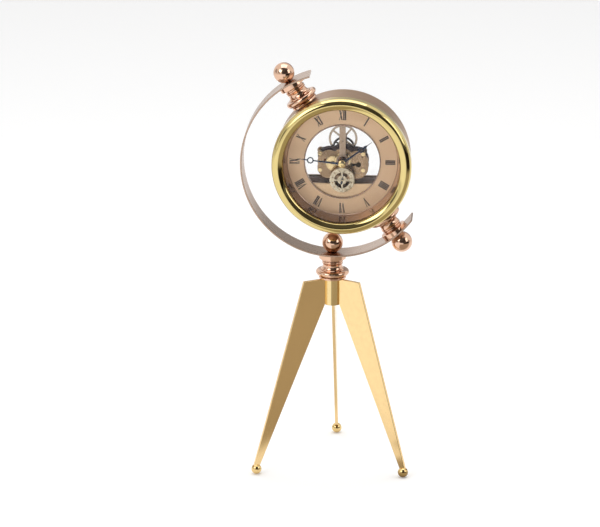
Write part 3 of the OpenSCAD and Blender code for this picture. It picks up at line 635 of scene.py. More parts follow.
class Effects:
    """Shader node groups that several finishes share. Each is built once."""

    made: dict[str, Tree] = {}

    @classmethod
    def start(cls, name: str, outputs: Sequence[str],
              **inputs: float | Point) -> tuple[Wiring, Outputs, Node]:
        """Open a new group that takes a vector and other inputs.

        Args:
            name: the group's name.
            outputs: names of the value sockets it puts out.
            inputs: its other sockets with their default, with spaces as _.

        Returns:
            The wiring, what the group is given, and its output node.
        """
        tree = bpy.data.node_groups.new(name, "ShaderNodeTree")
        cls.made[name] = tree
        for key, value in {"Vector": (0, 0, 0), **inputs}.items():
            kind = "NodeSocketVector" if isinstance(value, tuple) else "NodeSocketFloat"
            socket = tree.interface.new_socket(name=key.replace("_", " "), in_out="INPUT", socket_type=kind)
            socket.default_value = value
        for key in outputs:
            tree.interface.new_socket(name=key, in_out="OUTPUT", socket_type="NodeSocketFloat")
        return Wiring(tree), tree.nodes.new("NodeGroupInput").outputs, tree.nodes.new("NodeGroupOutput")

    @classmethod
    def handling(cls) -> Tree:
        """Make soft clouds where fingers have dulled a polish, and faint wipe marks.

        Returns:
            The group.
        """
        name = "handling_haze"
        if name not in cls.made:
            wires, given, sink = cls.start(name, ("Haze", "Marks"), Cloud_Scale=60.0, Mark_Scale=900.0)
            cloud = wires.noise(given["Vector"], given["Cloud Scale"], 4.0, 0.55)
            marks = wires.noise(given["Vector"], given["Mark Scale"], 2.0, 0.6, 1.2)
            wires.feed(sink, Haze=wires.spread(cloud, 0.38, 0.68, smooth=True),
                       Marks=wires.spread(marks, 0.3, 0.7))
        return cls.made[name]

    @classmethod
    def grain(cls) -> Tree:
        """Make fine straight brush lines, long along the direction that Stretch makes small.

        Returns:
            The group.
        """
        name = "brushed_grain"
        if name not in cls.made:
            wires, given, sink = cls.start(name, ("Lines", "Bands"), Stretch=(1, 1, 1), Scale=2500.0)
            scaled = wires.vector("MULTIPLY", given["Vector"], given["Stretch"])[0]
            fine = wires.noise(scaled, given["Scale"], 3.0, 0.7)
            broad = wires.noise(scaled, wires.times(given["Scale"], 0.12), 2.0)
            wires.feed(sink, Lines=wires.spread(fine, 0.3, 0.7), Bands=wires.spread(broad, 0.35, 0.65))
        return cls.made[name]

    @classmethod
    def wear(cls) -> Tree:
        """Make edges that rubbing has brightened, broken up so that they aren't even, and a mask of hollows
        for painted shade.

        Returns:
            The group.
        """
        name = "edge_wear"
        if name not in cls.made:
            wires, given, sink = cls.start(name, ("Edge", "Nook"), Start=0.52, End=0.62)
            sharp = wires.add("ShaderNodeNewGeometry").outputs["Pointiness"]
            broken = wires.spread(wires.noise(given["Vector"], 320.0, 3.0), 0.3, 0.6, 0.35, 1.0)
            edge = wires.times(wires.spread(sharp, given["Start"], given["End"]), broken)
            # Nook is a mask of the hollows; the polished finishes paint shade into them.
            wires.feed(sink, Edge=edge, Nook=wires.spread(sharp, 0.5, 0.42))
        return cls.made[name]

    @classmethod
    def dust(cls) -> Tree:
        """Make a thin film of dust on faces that look up, with a few larger specks.

        Returns:
            The group.
        """
        name = "settled_dust"
        if name not in cls.made:
            wires, given, sink = cls.start(name, ("Dust",), Amount=0.2)
            shape = wires.add("ShaderNodeNewGeometry")
            parts = wires.add("ShaderNodeSeparateXYZ", Vector=shape.outputs["Normal"])
            up = wires.spread(parts.outputs["Z"], 0.25, 0.95, smooth=True)
            soft = wires.spread(wires.noise(given["Vector"], 140.0, 5.0, 0.65), 0.4, 0.7, 0.15, 0.8)
            specks = wires.add("ShaderNodeTexVoronoi", Vector=given["Vector"], Scale=700.0)
            hard = wires.spread(specks.outputs["Distance"], 0.12, 0.05)
            film = wires.times(up, wires.math("MAXIMUM", soft, hard))
            wires.feed(sink, Dust=wires.math("MULTIPLY", film, given["Amount"], True))
        return cls.made[name]

    @classmethod
    def turning_and_sheen(cls) -> Tree:
        """Make circular tool marks about local Y, the distance from it and a soft fan of two lighter and two
        darker sectors, a painted sheen.

        Returns:
            The group.
        """
        name = "turned_marks"
        if name not in cls.made:
            wires, given, sink = cls.start(name, ("Rings", "Radius", "Sweep"), Pitch=9000.0)
            parts = wires.add("ShaderNodeSeparateXYZ", Vector=given["Vector"]).outputs
            square = wires.math("ADD", wires.math("POWER", parts["X"], 2.0),
                                wires.math("POWER", parts["Z"], 2.0))
            radius = wires.math("SQRT", square)
            angle = wires.math("ARCTAN2", parts["Z"], parts["X"])
            polar = wires.add("ShaderNodeCombineXYZ", X=wires.times(radius, given["Pitch"]),
                              Y=wires.times(angle, 1.5))
            rings = wires.noise(polar.outputs[0], 1.0, 3.0, 0.7)
            # Painted sheen: the fan swings the tone twice round the centre, as light does on a turned face.
            fan = wires.math("SINE", wires.times(angle, 2.0))
            wires.feed(sink, Rings=wires.spread(rings, 0.3, 0.7), Radius=radius,
                       Sweep=wires.spread(fan, -1.0, 1.0))
        return cls.made[name]


def brighter(colour: Colour, gain: float, lift: float = 0.0) -> Colour:
    """Scale a colour, and lift it, without passing white."""
    return tuple(min(1.0, c * gain + lift) for c in colour)


@dataclass(frozen=True)
class Finish:
    """Base of every finish: a name and the Principled shader it is built on."""

    name: str = "finish"

    def material(self) -> bpy.types.Material:
        """Build the finish's material once.

        Returns:
            The material.
        """
        made = bpy.data.materials.get(self.name)
        if made is None:
            made = bpy.data.materials.new(self.name)
            made.use_nodes = True
            wires = Wiring(made.node_tree)
            place = wires.add("ShaderNodeTexCoord")
            self.build(wires, made.node_tree.nodes["Principled BSDF"], place.outputs["Object"])
        return made

    def build(self, wires: Wiring, shader: Node, where: Socket) -> None:
        """Wire the finish; each kind does this its own way.

        Args:
            wires: wiring of the material.
            shader: its Principled shader.
            where: the piece's own coordinates.
        """
        raise NotImplementedError

    def effect(self, wires: Wiring, group: Tree, where: Socket,
               **values: object) -> Outputs:
        """Place a shared effect with this material's values and return its outputs."""
        return wires.add("ShaderNodeGroup", node_tree=group, Vector=where, **values).outputs

    def relief(self, wires: Wiring, shader: Node, height: Socket, strength: float,
               distance: float) -> None:
        """Send a height through a Bump node to the shader's normal."""
        bump = wires.add("ShaderNodeBump", Strength=strength, Distance=distance, Height=height)
        wires.link(bump.outputs[0], shader.inputs["Normal"])


@dataclass(frozen=True)
class Polished(Finish):
    """Plated metal polished bright, a little hazy where it is handled."""

    colour: Colour = (0.8, 0.6, 0.3)
    painted_nook_shade: Colour = (0.5, 0.3, 0.1)
    rough: float = 0.06
    haze: float = 0.08
    wipe: float = 0.02
    cloud: float = 60.0
    dust: float = 0.12

    def build(self, wires: Wiring, shader: Node, where: Socket) -> None:
        """Take colour from painted shade in nooks and from dust, roughness from haze, and add faint wipe
        marks.

        Args:
            wires: wiring of the material.
            shader: its Principled shader.
            where: the piece's own coordinates.
        """
        haze = self.effect(wires, Effects.handling(), where, Cloud_Scale=self.cloud)
        wear = self.effect(wires, Effects.wear(), where)
        dust = self.effect(wires, Effects.dust(), where, Amount=self.dust)["Dust"]
        # Painted shade: the hollows darken towards the second colour.
        tone = wires.blend(wear["Nook"], self.colour, self.painted_nook_shade)
        tone = wires.blend(wires.times(wear["Edge"], 0.4), tone, brighter(self.colour, 1.12))
        tone = wires.blend(dust, tone, (0.62, 0.58, 0.54))
        level = wires.spread(haze["Haze"], 0.0, 1.0, self.rough, self.rough + self.haze)
        level = wires.math("ADD", level, wires.times(dust, 0.5), True)
        wires.feed(shader, Base_Color=tone, Roughness=level, Metallic=wires.spread(dust, 0.0, 1.0, 1.0, 0.35))
        self.relief(wires, shader, haze["Marks"], self.wipe, 0.0001)


@dataclass(frozen=True)
class Brushed(Finish):
    """Satin metal with a straight brushed grain."""

    colour: Colour = (0.8, 0.6, 0.3)
    shade: Colour = (0.6, 0.42, 0.18)
    stretch: Point = (1.0, 1.0, 0.03)
    grain_scale: float = 2600.0
    rough: float = 0.26
    spread_rough: float = 0.14
    relief_strength: float = 0.12
    metal: float = 1.0
    dust: float = 0.15

    def build(self, wires: Wiring, shader: Node, where: Socket) -> None:
        """Let the grain drive colour, roughness and relief, with edges rubbed bright.

        Args:
            wires: wiring of the material.
            shader: its Principled shader.
            where: the piece's own coordinates.
        """
        grain = self.effect(wires, Effects.grain(), where, Stretch=self.stretch, Scale=self.grain_scale)
        haze = self.effect(wires, Effects.handling(), where, Cloud_Scale=45.0)["Haze"]
        edge = self.effect(wires, Effects.wear(), where)["Edge"]
        dust = self.effect(wires, Effects.dust(), where, Amount=self.dust)["Dust"]
        mixed = wires.math("ADD", wires.times(grain["Lines"], 0.55), wires.times(grain["Bands"], 0.45))
        tone = wires.blend(wires.spread(mixed, 0.2, 0.8, 0.0, 0.35), self.colour, self.shade)
        tone = wires.blend(wires.times(edge, 0.6), tone, brighter(self.colour, 1.15))
        tone = wires.blend(dust, tone, (0.62, 0.58, 0.52))
        level = wires.spread(mixed, 0.0, 1.0, self.rough, self.rough + self.spread_rough)
        level = wires.math("ADD", level, wires.times(haze, 0.05), True)
        metal = wires.spread(dust, 0.0, 1.0, self.metal, self.metal * 0.4)
        wires.feed(shader, Base_Color=tone, Roughness=level, Metallic=metal)
        self.relief(wires, shader, grain["Lines"], self.relief_strength, 0.00005)


@dataclass(frozen=True)
class Turned(Finish):
    """Satin metal with circular lathe marks about the dial's middle and a painted sheen in sectors about it.
    """

    colour: Colour = (0.7, 0.5, 0.3)
    shade: Colour = (0.55, 0.36, 0.2)
    rough: float = 0.34
    metal: float = 0.85
    centre: Point = (0.0, 0.0, 0.0)
    line_from: float = 1.0
    line_colour: Colour = (0.2, 0.1, 0.05)
    relief_strength: float = 0.1
    # Strength of the painted sheen fan.
    sweep: float = 0.18

    def build(self, wires: Wiring, shader: Node, where: Socket) -> None:
        """Let rings drive relief and tone, with a painted sheen in sectors and a dark line beyond a radius.

        Args:
            wires: wiring of the material.
            shader: its Principled shader.
            where: the piece's own coordinates.
        """
        soft = 0.00012
        shift = wires.add("ShaderNodeMapping", Vector=where, Location=tuple(-c for c in self.centre))
        marks = self.effect(wires, Effects.turning_and_sheen(), shift.outputs[0])
        haze = self.effect(wires, Effects.handling(), where, Cloud_Scale=90.0)["Haze"]
        # Painted sheen: the fan darkens two opposite sectors towards the second colour.
        mixed = wires.math("ADD", wires.times(marks["Rings"], 0.3), wires.times(marks["Sweep"], self.sweep))
        tone = wires.blend(mixed, self.colour, self.shade)
        line = wires.spread(marks["Radius"], self.line_from - soft, self.line_from + soft)
        tone = wires.blend(line, tone, self.line_colour)
        level = wires.spread(marks["Rings"], 0.0, 1.0, self.rough, self.rough + 0.14)
        level = wires.math("ADD", level, wires.times(haze, 0.06), True)
        wires.feed(shader, Base_Color=tone, Roughness=level, Metallic=self.metal)
        self.relief(wires, shader, marks["Rings"], self.relief_strength, 0.00005)


@dataclass(frozen=True)
class Coated(Finish):
    """Paint, ink, plastic, rubber or a fibre: a moulded or coated surface with fine texture."""

    colour: Colour = (0.1, 0.1, 0.1)
    second: Colour = (0.05, 0.05, 0.05)
    rough: float = 0.45
    metal: float = 0.0
    texture: float = 1400.0
    relief_strength: float = 0.15
    coat: float = 0.0
    dust: float = 0.25
    gloss: float = 0.5

    def build(self, wires: Wiring, shader: Node, where: Socket) -> None:
        """Lay down cloudy colour, fine relief, scuffed edges and dust.

        Args:
            wires: wiring of the material.
            shader: its Principled shader.
            where: the piece's own coordinates.
        """
        cloud = wires.noise(where, 120.0, 4.0)
        fine = wires.noise(where, self.texture, 3.0, 0.6)
        edge = self.effect(wires, Effects.wear(), where)["Edge"]
        dust = self.effect(wires, Effects.dust(), where, Amount=self.dust)["Dust"]
        tone = wires.blend(wires.spread(cloud, 0.35, 0.65), self.colour, self.second)
        tone = wires.blend(wires.times(edge, 0.35), tone, brighter(self.colour, 1.6, 0.02))
        tone = wires.blend(dust, tone, (0.5, 0.47, 0.44))
        level = wires.spread(fine, 0.3, 0.7, self.rough - 0.05, self.rough + 0.08)
        level = wires.math("ADD", level, wires.times(dust, 0.3), True)
        wires.feed(shader, Base_Color=tone, Roughness=level, Metallic=self.metal,
                   Specular_IOR_Level=self.gloss,
                   Coat_Weight=self.coat, Coat_Roughness=0.12)
        self.relief(wires, shader, fine, self.relief_strength, 0.00008)


@dataclass(frozen=True)
class Wound(Finish):
    """Enamelled wire wound side by side along the vertical."""

    colour: Colour = (0.62, 0.24, 0.09)
    # Colour of the painted shade in the valleys between turns.
    gap: Colour = (0.12, 0.03, 0.01)
    turns: float = 9000.0

    def build(self, wires: Wiring, shader: Node, where: Socket) -> None:
        """Give each turn of wire its round back with a sine across the height, with painted shade in the
        valleys between turns.

        Args:
            wires: wiring of the material.
            shader: its Principled shader.
            where: the piece's own coordinates.
        """
        height = wires.add("ShaderNodeSeparateXYZ", Vector=where).outputs["Z"]
        wave = wires.math("ABSOLUTE", wires.math("SINE", wires.times(height, self.turns)))
        # Painted shade: the valleys between turns darken towards the gap colour.
        tone = wires.blend(wires.spread(wave, 0.0, 0.6), self.gap, self.colour)
        wires.feed(shader, Base_Color=tone, Roughness=wires.spread(wave, 0.0, 1.0, 0.5, 0.22), Metallic=0.85)
        self.relief(wires, shader, wave, 0.6, 0.0001)


@dataclass(frozen=True)
class Clear(Finish):
    """Thin clear pane with a faint tint and a trace of dust."""

    tint: Colour = (0.97, 0.99, 1.0)
    veil: float = 0.035

    def build(self, wires: Wiring, shader: Node, where: Socket) -> None:
        """Let light through by alpha, with dust and smears that change it a little.

        Args:
            wires: wiring of the material.
            shader: its Principled shader.
            where: the piece's own coordinates.
        """
        haze = self.effect(wires, Effects.handling(), where, Cloud_Scale=35.0)["Haze"]
        dust = self.effect(wires, Effects.dust(), where, Amount=0.3)["Dust"]
        wires.feed(shader, Base_Color=wires.blend(dust, self.tint, (0.85, 0.84, 0.82)),
                   Roughness=wires.spread(haze, 0.0, 1.0, 0.02, 0.06),
                   Alpha=wires.spread(haze, 0.0, 1.0, self.veil, self.veil + 0.02),
                   Metallic=0.0, Transmission_Weight=0.6, IOR=1.45)


# ---------------------------------------------------------------- the finishes of this clock

# Painted shade: the second colour of each Polished finish is the shade painted into its hollows.
GOLD_POLISH = Polished("polished_gold_plate", (0.71, 0.57, 0.24), (0.34, 0.23, 0.06), 0.05, 0.05, 0.015, 50.0,
                       0.05)
ROSE_POLISH = Polished("polished_rose_gold", (0.74, 0.48, 0.34), (0.36, 0.16, 0.09), 0.05, 0.05, 0.01, 90.0,
                       0.03)
ROSE_STRIP = Brushed("satin_rose_strip", (0.50, 0.365, 0.28), (0.42, 0.30, 0.225), (0.25, 1.0, 0.25), 1500.0,
                     0.2, 0.1, 0.03, 1.0, 0.03)
LEG_GOLD = Brushed("brushed_leg_gold", (0.86, 0.62, 0.31), (0.83, 0.59, 0.29), (1.0, 1.0, 0.02), 3400.0, 0.13,
                   0.04, 0.01, 1.0, 0.0)
HUB_GOLD = Brushed("brushed_hub_gold", (0.80, 0.62, 0.31), (0.74, 0.56, 0.27), (1.0, 1.0, 0.02), 2600.0, 0.06,
                   0.04, 0.02, 1.0, 0.02)
FOOT_GOLD = Polished("polished_foot_gold", (0.80, 0.58, 0.26), (0.40, 0.24, 0.08), 0.08, 0.08, 0.02, 90.0,
                     0.05)
DRUM_ROSE = Brushed("satin_drum_rose", (0.43, 0.275, 0.17), (0.34, 0.205, 0.125), (0.2, 1.0, 0.2), 1200.0,
                    0.3, 0.12, 0.04, 0.9, 0.04)
BRASS = Polished("train_brass", (0.72, 0.55, 0.30), (0.3, 0.19, 0.07), 0.16, 0.1, 0.05, 200.0, 0.02)
BRIDGE_TAN = Brushed("bridge_bar_tan", (0.52, 0.39, 0.29), (0.42, 0.30, 0.21), (1, 1, 0.03), 2600.0, 0.3,
                     0.12, 0.06,
                     0.85, 0.02)
GREY_BRASS = Polished("grey_brass_wheel", (0.36, 0.29, 0.22), (0.15, 0.11, 0.07), 0.2, 0.1, 0.05, 200.0, 0.02)
STEEL = Brushed("bright_steel", (0.66, 0.66, 0.68), (0.5, 0.5, 0.52), (1, 1, 0.1), 2600.0, 0.2, 0.12, 0.06,
                1.0, 0.05)
DARK_STEEL = Brushed("blackened_wheel_steel", (0.055, 0.04, 0.045), (0.03, 0.02, 0.025), (1, 1, 1), 1800.0,
                     0.3, 0.15, 0.04, 0.9, 0.0)
MAGNET = Coated("dull_magnet", (0.16, 0.16, 0.18), (0.1, 0.1, 0.11), 0.4, 0.8, 2000.0, 0.1, 0.0, 0.05)
INK = Coated("brown_numeral_ink", (0.045, 0.022, 0.016), (0.03, 0.014, 0.01), 0.4, 0.0, 3000.0, 0.1, 0.2, 0.0)
HAND_BLUE = Polished("blued_hand_steel", (0.03, 0.04, 0.065), (0.01, 0.012, 0.02), 0.22, 0.1, 0.04, 200.0,
                     0.0)
RUBBER = Coated("gasket_rubber_black", (0.03, 0.03, 0.03), (0.02, 0.02, 0.02), 0.6, 0.0, 2500.0, 0.2, 0.0,
                0.1)
FIBRE = Coated("washer_fibre_brown", (0.16, 0.09, 0.05), (0.11, 0.06, 0.035), 0.75, 0.0, 1800.0, 0.4, 0.0,
               0.1)
PLASTIC = Coated("bay_plastic_brown", (0.095, 0.045, 0.028), (0.065, 0.03, 0.018), 0.6, 0.0, 1600.0, 0.12,
                 0.0, 0.0, 0.12)
CELL_WRAP = Coated("cell_sleeve", (0.14, 0.15, 0.18), (0.11, 0.12, 0.15), 0.3, 0.1, 900.0, 0.05, 0.5, 0.1)
BOARD = Coated("board_lacquer_green", (0.03, 0.16, 0.06), (0.02, 0.11, 0.04), 0.3, 0.0, 900.0, 0.1, 0.6, 0.1)
ROSE_SPACER = Polished("polished_rose_spacer", (0.50, 0.36, 0.28), (0.24, 0.14, 0.10), 0.2, 0.08, 0.02, 90.0,
                       0.02)
COPPER_BUSH = Polished("copper_bush", (0.30, 0.17, 0.12), (0.14, 0.06, 0.03), 0.18, 0.1, 0.03, 200.0, 0.0)
PALE_BRASS = Polished("pale_brass_ring", (0.55, 0.47, 0.34), (0.26, 0.19, 0.10), 0.2, 0.1, 0.04, 200.0, 0.0)
PLATE_GOLD = Brushed("movement_plate_gold", (0.40, 0.27, 0.165), (0.29, 0.19, 0.11), (1, 1, 0.2), 1800.0, 0.2,
                     0.14, 0.04, 1.0, 0.0)
NUT_GOLD = Polished("hand_nut_gold", (0.80, 0.62, 0.30), (0.4, 0.25, 0.08), 0.12, 0.08, 0.02, 200.0, 0.0)
WIRE = Wound("wound_copper_wire")
GLASS = Clear("clear_pane")


# ---------------------------------------------------------------- stand


@dataclass
class Tripod:
    """Three flat legs in a slotted hub, each on a small ball foot."""

    places: Places
    top_z: float = 140.2
    reach: float = 23.1
    root_h: float = 19.2
    tip_w: float = 4.3
    thick: float = 2.2
    foot_circle: float = 61.2
    foot_r: float = 3.698
    foot_flat: float = 0.15
    hub_r: float = 6.5
    slot_depth: float = 2.0
    stud_r: float = 2.0
    angles: dict[str, float] = field(default_factory=lambda: {"left": 210.0, "right": 330.0, "back": 90.0})

    def leg(self) -> Obj:
        """Cut one leg plate and round its long edges.

        Returns:
            The leg, pointing along X.
        """
        seat = 1.52 * self.foot_r
        inner = self.hub_r - self.slot_depth
        half = self.tip_w / 2
        outline = [(inner, self.top_z), (self.reach, self.top_z), (self.foot_circle + half, seat),
                   (self.foot_circle - half, seat), (self.hub_r, self.top_z - self.root_h),
                   (inner, self.top_z - self.root_h)]
        obj = plate("leg_blank", outline, -self.thick / 2, self.thick)
        soften(obj, 0.28, 3)
        return put(shade(obj), spun(90, "X"))

    def foot(self) -> Obj:
        """Turn a ball with a flat under it and slot it for the leg's tip.

        Returns:
            The foot, under the tip of a leg along X.
        """
        low = math.degrees(math.asin((self.foot_flat - self.foot_r) / self.foot_r))
        seat = 1.52 * self.foot_r
        rise = self.foot_r - self.foot_flat
        profile = [(0.0, 0.0)] + arc(0, rise, self.foot_r, low, 90, 40)
        profile[-1] = (0.0, rise + self.foot_r)
        obj = lathe("foot_blank", profile, 64, False)
        cutter = block("foot_slot", (-5, -self.thick / 2 - 0.02, seat), (5, self.thick / 2 + 0.02, 12))
        combine(obj, cutter, Join.CUT)
        soften(obj, 0.12, 2, 50)
        return put(shade(obj, 40), Matrix.Translation((self.foot_circle, 0, 0)))

    def hub(self) -> Obj:
        """Turn the hub with a chamfer at both ends, bore it and slot it three times.

        Returns:
            The hub, about Z.
        """
        low = self.top_z - self.root_h - 0.3
        c = 0.45
        profile = [(self.stud_r + 0.05, low), (self.hub_r - c, low), (self.hub_r - 0.12, low + 0.15),
                   (self.hub_r, low + c),
                   (self.hub_r, self.top_z - c), (self.hub_r - 0.12, self.top_z - 0.15),
                   (self.hub_r - c, self.top_z),
                   (self.stud_r + 0.05, self.top_z)]
        obj = lathe("leg_hub_turned", profile, 96)
        for angle in self.angles.values():
            slot = block("hub_slot",
                         (self.hub_r - self.slot_depth, -self.thick / 2 - 0.02, self.top_z - self.root_h),
                         (self.hub_r + 3, self.thick / 2 + 0.02, self.top_z + 2))
            put(slot, spun(angle, "Z"))
            combine(obj, slot, Join.CUT)
        return shade(obj, 30)

    def build(self) -> None:
        """Make the tripod's seven pieces."""
        leg, foot = self.leg(), self.foot()
        for side, angle in self.angles.items():
            for blank, node, finish in ((leg, f"leg_{side}", LEG_GOLD), (foot, f"foot_{side}", FOOT_GOLD)):
                piece = put(twin(blank, f"{node}_finished"), self.places.upright(angle))
                stand_for(piece, finish, node)
        bpy.data.objects.remove(leg, do_unlink=True)
        bpy.data.objects.remove(foot, do_unlink=True)
        stand_for(put(self.hub(), self.places.upright()), HUB_GOLD, "leg_hub")


@dataclass
class RingAndBalusters:
    """The open ring, its turned balusters and the ball nuts that clamp them."""

    places: Places
    ring_in: float = 66.5966
    thick: float = 1.2
    width: float = 20.0
    end_top: float = 105.9
    end_low: float = -35.7
    baluster_h: float = 18.1
    lobe_r: float = 12.0
    waist_r: float = 7.0
    flange_r: float = 9.7
    stud_r: float = 2.0
    ball_r: float = 7.49
    ball_seat: float = 7.1
    half_chord: float = 66.3

    def strip(self) -> Obj:
        """Sweep the strip's rounded section round the ring and close both ends.

        Returns:
            The strip, in the ring's own plane.
        """
        inner, outer, half, c = self.ring_in, self.ring_in + self.thick, self.width / 2, 0.22
        section = [(inner, -half + c), (inner + c * 0.3, -half + c * 0.3), (inner + c, -half),
                   (outer - c, -half),
                   (outer - c * 0.3, -half + c * 0.3), (outer, -half + c), (outer, half - c),
                   (outer - c * 0.3, half - c * 0.3),
                   (outer - c, half), (inner + c, half), (inner + c * 0.3, half - c * 0.3), (inner, half - c)]
        obj = chain("ring_strip_swept", [(r, 0.0, z) for r, z in section])
        put(obj, spun(self.end_top, "Z"))
        span = self.end_low + 360 - self.end_top
        with editing(obj):
            bpy.ops.mesh.spin(steps=180, angle=-math.radians(span), center=(0, 0, 0), axis=(0, 0, 1))
            bpy.ops.mesh.select_all(action="SELECT")
            bpy.ops.mesh.remove_doubles(threshold=WELD)
            bpy.ops.mesh.fill_holes(sides=0)
            bpy.ops.mesh.select_all(action="SELECT")
            bpy.ops.mesh.normals_make_consistent(inside=False)
        return shade(obj, 25)

    def profile(self, spare: float) -> list[Point2]:
        """Outline of a baluster from its case end to its ring end, with every ledge rounded.

        Args:
            spare: extra length at the ring end.

        Returns:
            The (radius, height) points.
        """
        rim = 0.82 * self.lobe_r
        bead = 0.68 * self.baluster_h
        cove = self.baluster_h - 4.6
        flange = self.baluster_h - 3.2
        w = self.waist_r
        bore = self.stud_r + 0.05
        return ([(bore, 0.0)] + arc(rim - 0.4, 0.4, 0.4, -90, 0, 4) + arc(rim - 0.3, 1.3, 0.3, 0, 55, 3)
                + [(rim - 0.9, 1.9), (rim - 0.9, 2.5)]
                + arc(self.lobe_r - 1.9, 4.6, 1.9, -76, 76, 14)
                + [(w + 1.6, 6.65), (w + 1.55, 7.2)]
                + arc(w + 3.2, 9.6, 3.2, 218, 150, 10)
                + arc(w - 0.2, bead, 0.7, -70, 70, 8)
                + arc(w + 0.9, cove + 0.1, 1.0, 205, 150, 4)
                + arc(self.flange_r - 0.4, flange + 0.2, 0.4, -75, 0, 5)
                + [(self.flange_r, self.baluster_h + spare), (bore, self.baluster_h + spare)])

    def ring_tool(self, r: float, offset: Point) -> Obj:
        """A tall round tool along local Y that trims a seat to the ring's curve.

        Args:
            r: radius of the tool.
            offset: the ring's centre.

        Returns:
            The tool.
        """
        tool = disc("ring_tool", 0, 0, r, -40, 80, 360)
        put(tool, spun(90, "X"))
        return put(tool, Matrix.Translation(offset))

    def baluster(self, name: str) -> Obj:
        """Turn one baluster with spare length at the ring end."""
        return lathe(name, self.profile(1.5), 128)

    def ball(self, name: str) -> Obj:
        """Turn a ball nut with a shallow bore from below.

        Args:
            name: name of the new object.

        Returns:
            The ball, about Z.
        """
        bore = self.stud_r + 0.02
        start = math.degrees(math.acos(bore / self.ball_r))
        profile = [(0.0, 4.0), (bore, 4.0)] + arc(0, 0, self.ball_r, -start, 90, 48)
        profile[-1] = (0.0, self.ball_r)
        return lathe(name, profile, 96, False)

    def build(self) -> None:
        """Make the strip, three balusters and three balls."""
        stand_for(put(self.strip(), self.places.ring()), ROSE_STRIP, "ring_strip")
        to_ring = self.places.ring()
        centre = to_ring.translation / MM
        post_z = self.places.low_z("base_baluster")
        base = self.baluster("base_baluster_turned")
        tool = self.ring_tool(self.ring_in + self.thick + 0.02, (centre.x, 0, centre.z - post_z))
        combine(base, tool, Join.CUT)
        stand_for(put(shade(base, 28), self.places.upright(0, post_z)), ROSE_POLISH, "base_baluster")
        balls = []
        chord_out = math.sqrt((self.ring_in + self.thick) ** 2 - self.places.head_offset ** 2)
        for end, node in ((End.TOP, "top_baluster"), (End.LOW, "lower_baluster")):
            place = self.places.pivot(end)
            local = place.inverted() @ Vector((centre.x * MM, 0, centre.z * MM))
            piece = self.baluster(f"{node}_turned")
            put(piece, Matrix.Translation((0, 0, self.half_chord - self.baluster_h)))
            combine(piece, self.ring_tool(self.ring_in - 0.02, tuple(local)), Join.KEEP)
            stand_for(put(shade(piece, 28), place), ROSE_POLISH, node)
            ball = self.ball("ball_nut")
            put(ball, Matrix.Translation((0, 0, chord_out + self.ball_seat)))
            combine(ball, self.ring_tool(self.ring_in + self.thick + 0.02, tuple(local)), Join.CUT)
            balls.append(put(shade(ball, 40), place))
        inner_z = centre.z - math.sqrt(self.ring_in ** 2 - centre.x ** 2)
        middle = self.ball("ball_nut")
        put(middle, Matrix.Translation((0, 0, inner_z + self.ball_seat)))
        combine(middle, self.ring_tool(self.ring_in - 0.02, (centre.x, 0, centre.z)), Join.KEEP)
        balls.append(put(shade(middle, 40), Matrix.Scale(MM, 4)))
        stand_for(gather("ball_nuts_turned", balls), ROSE_POLISH, "ball_nuts")


# ---------------------------------------------------------------- case


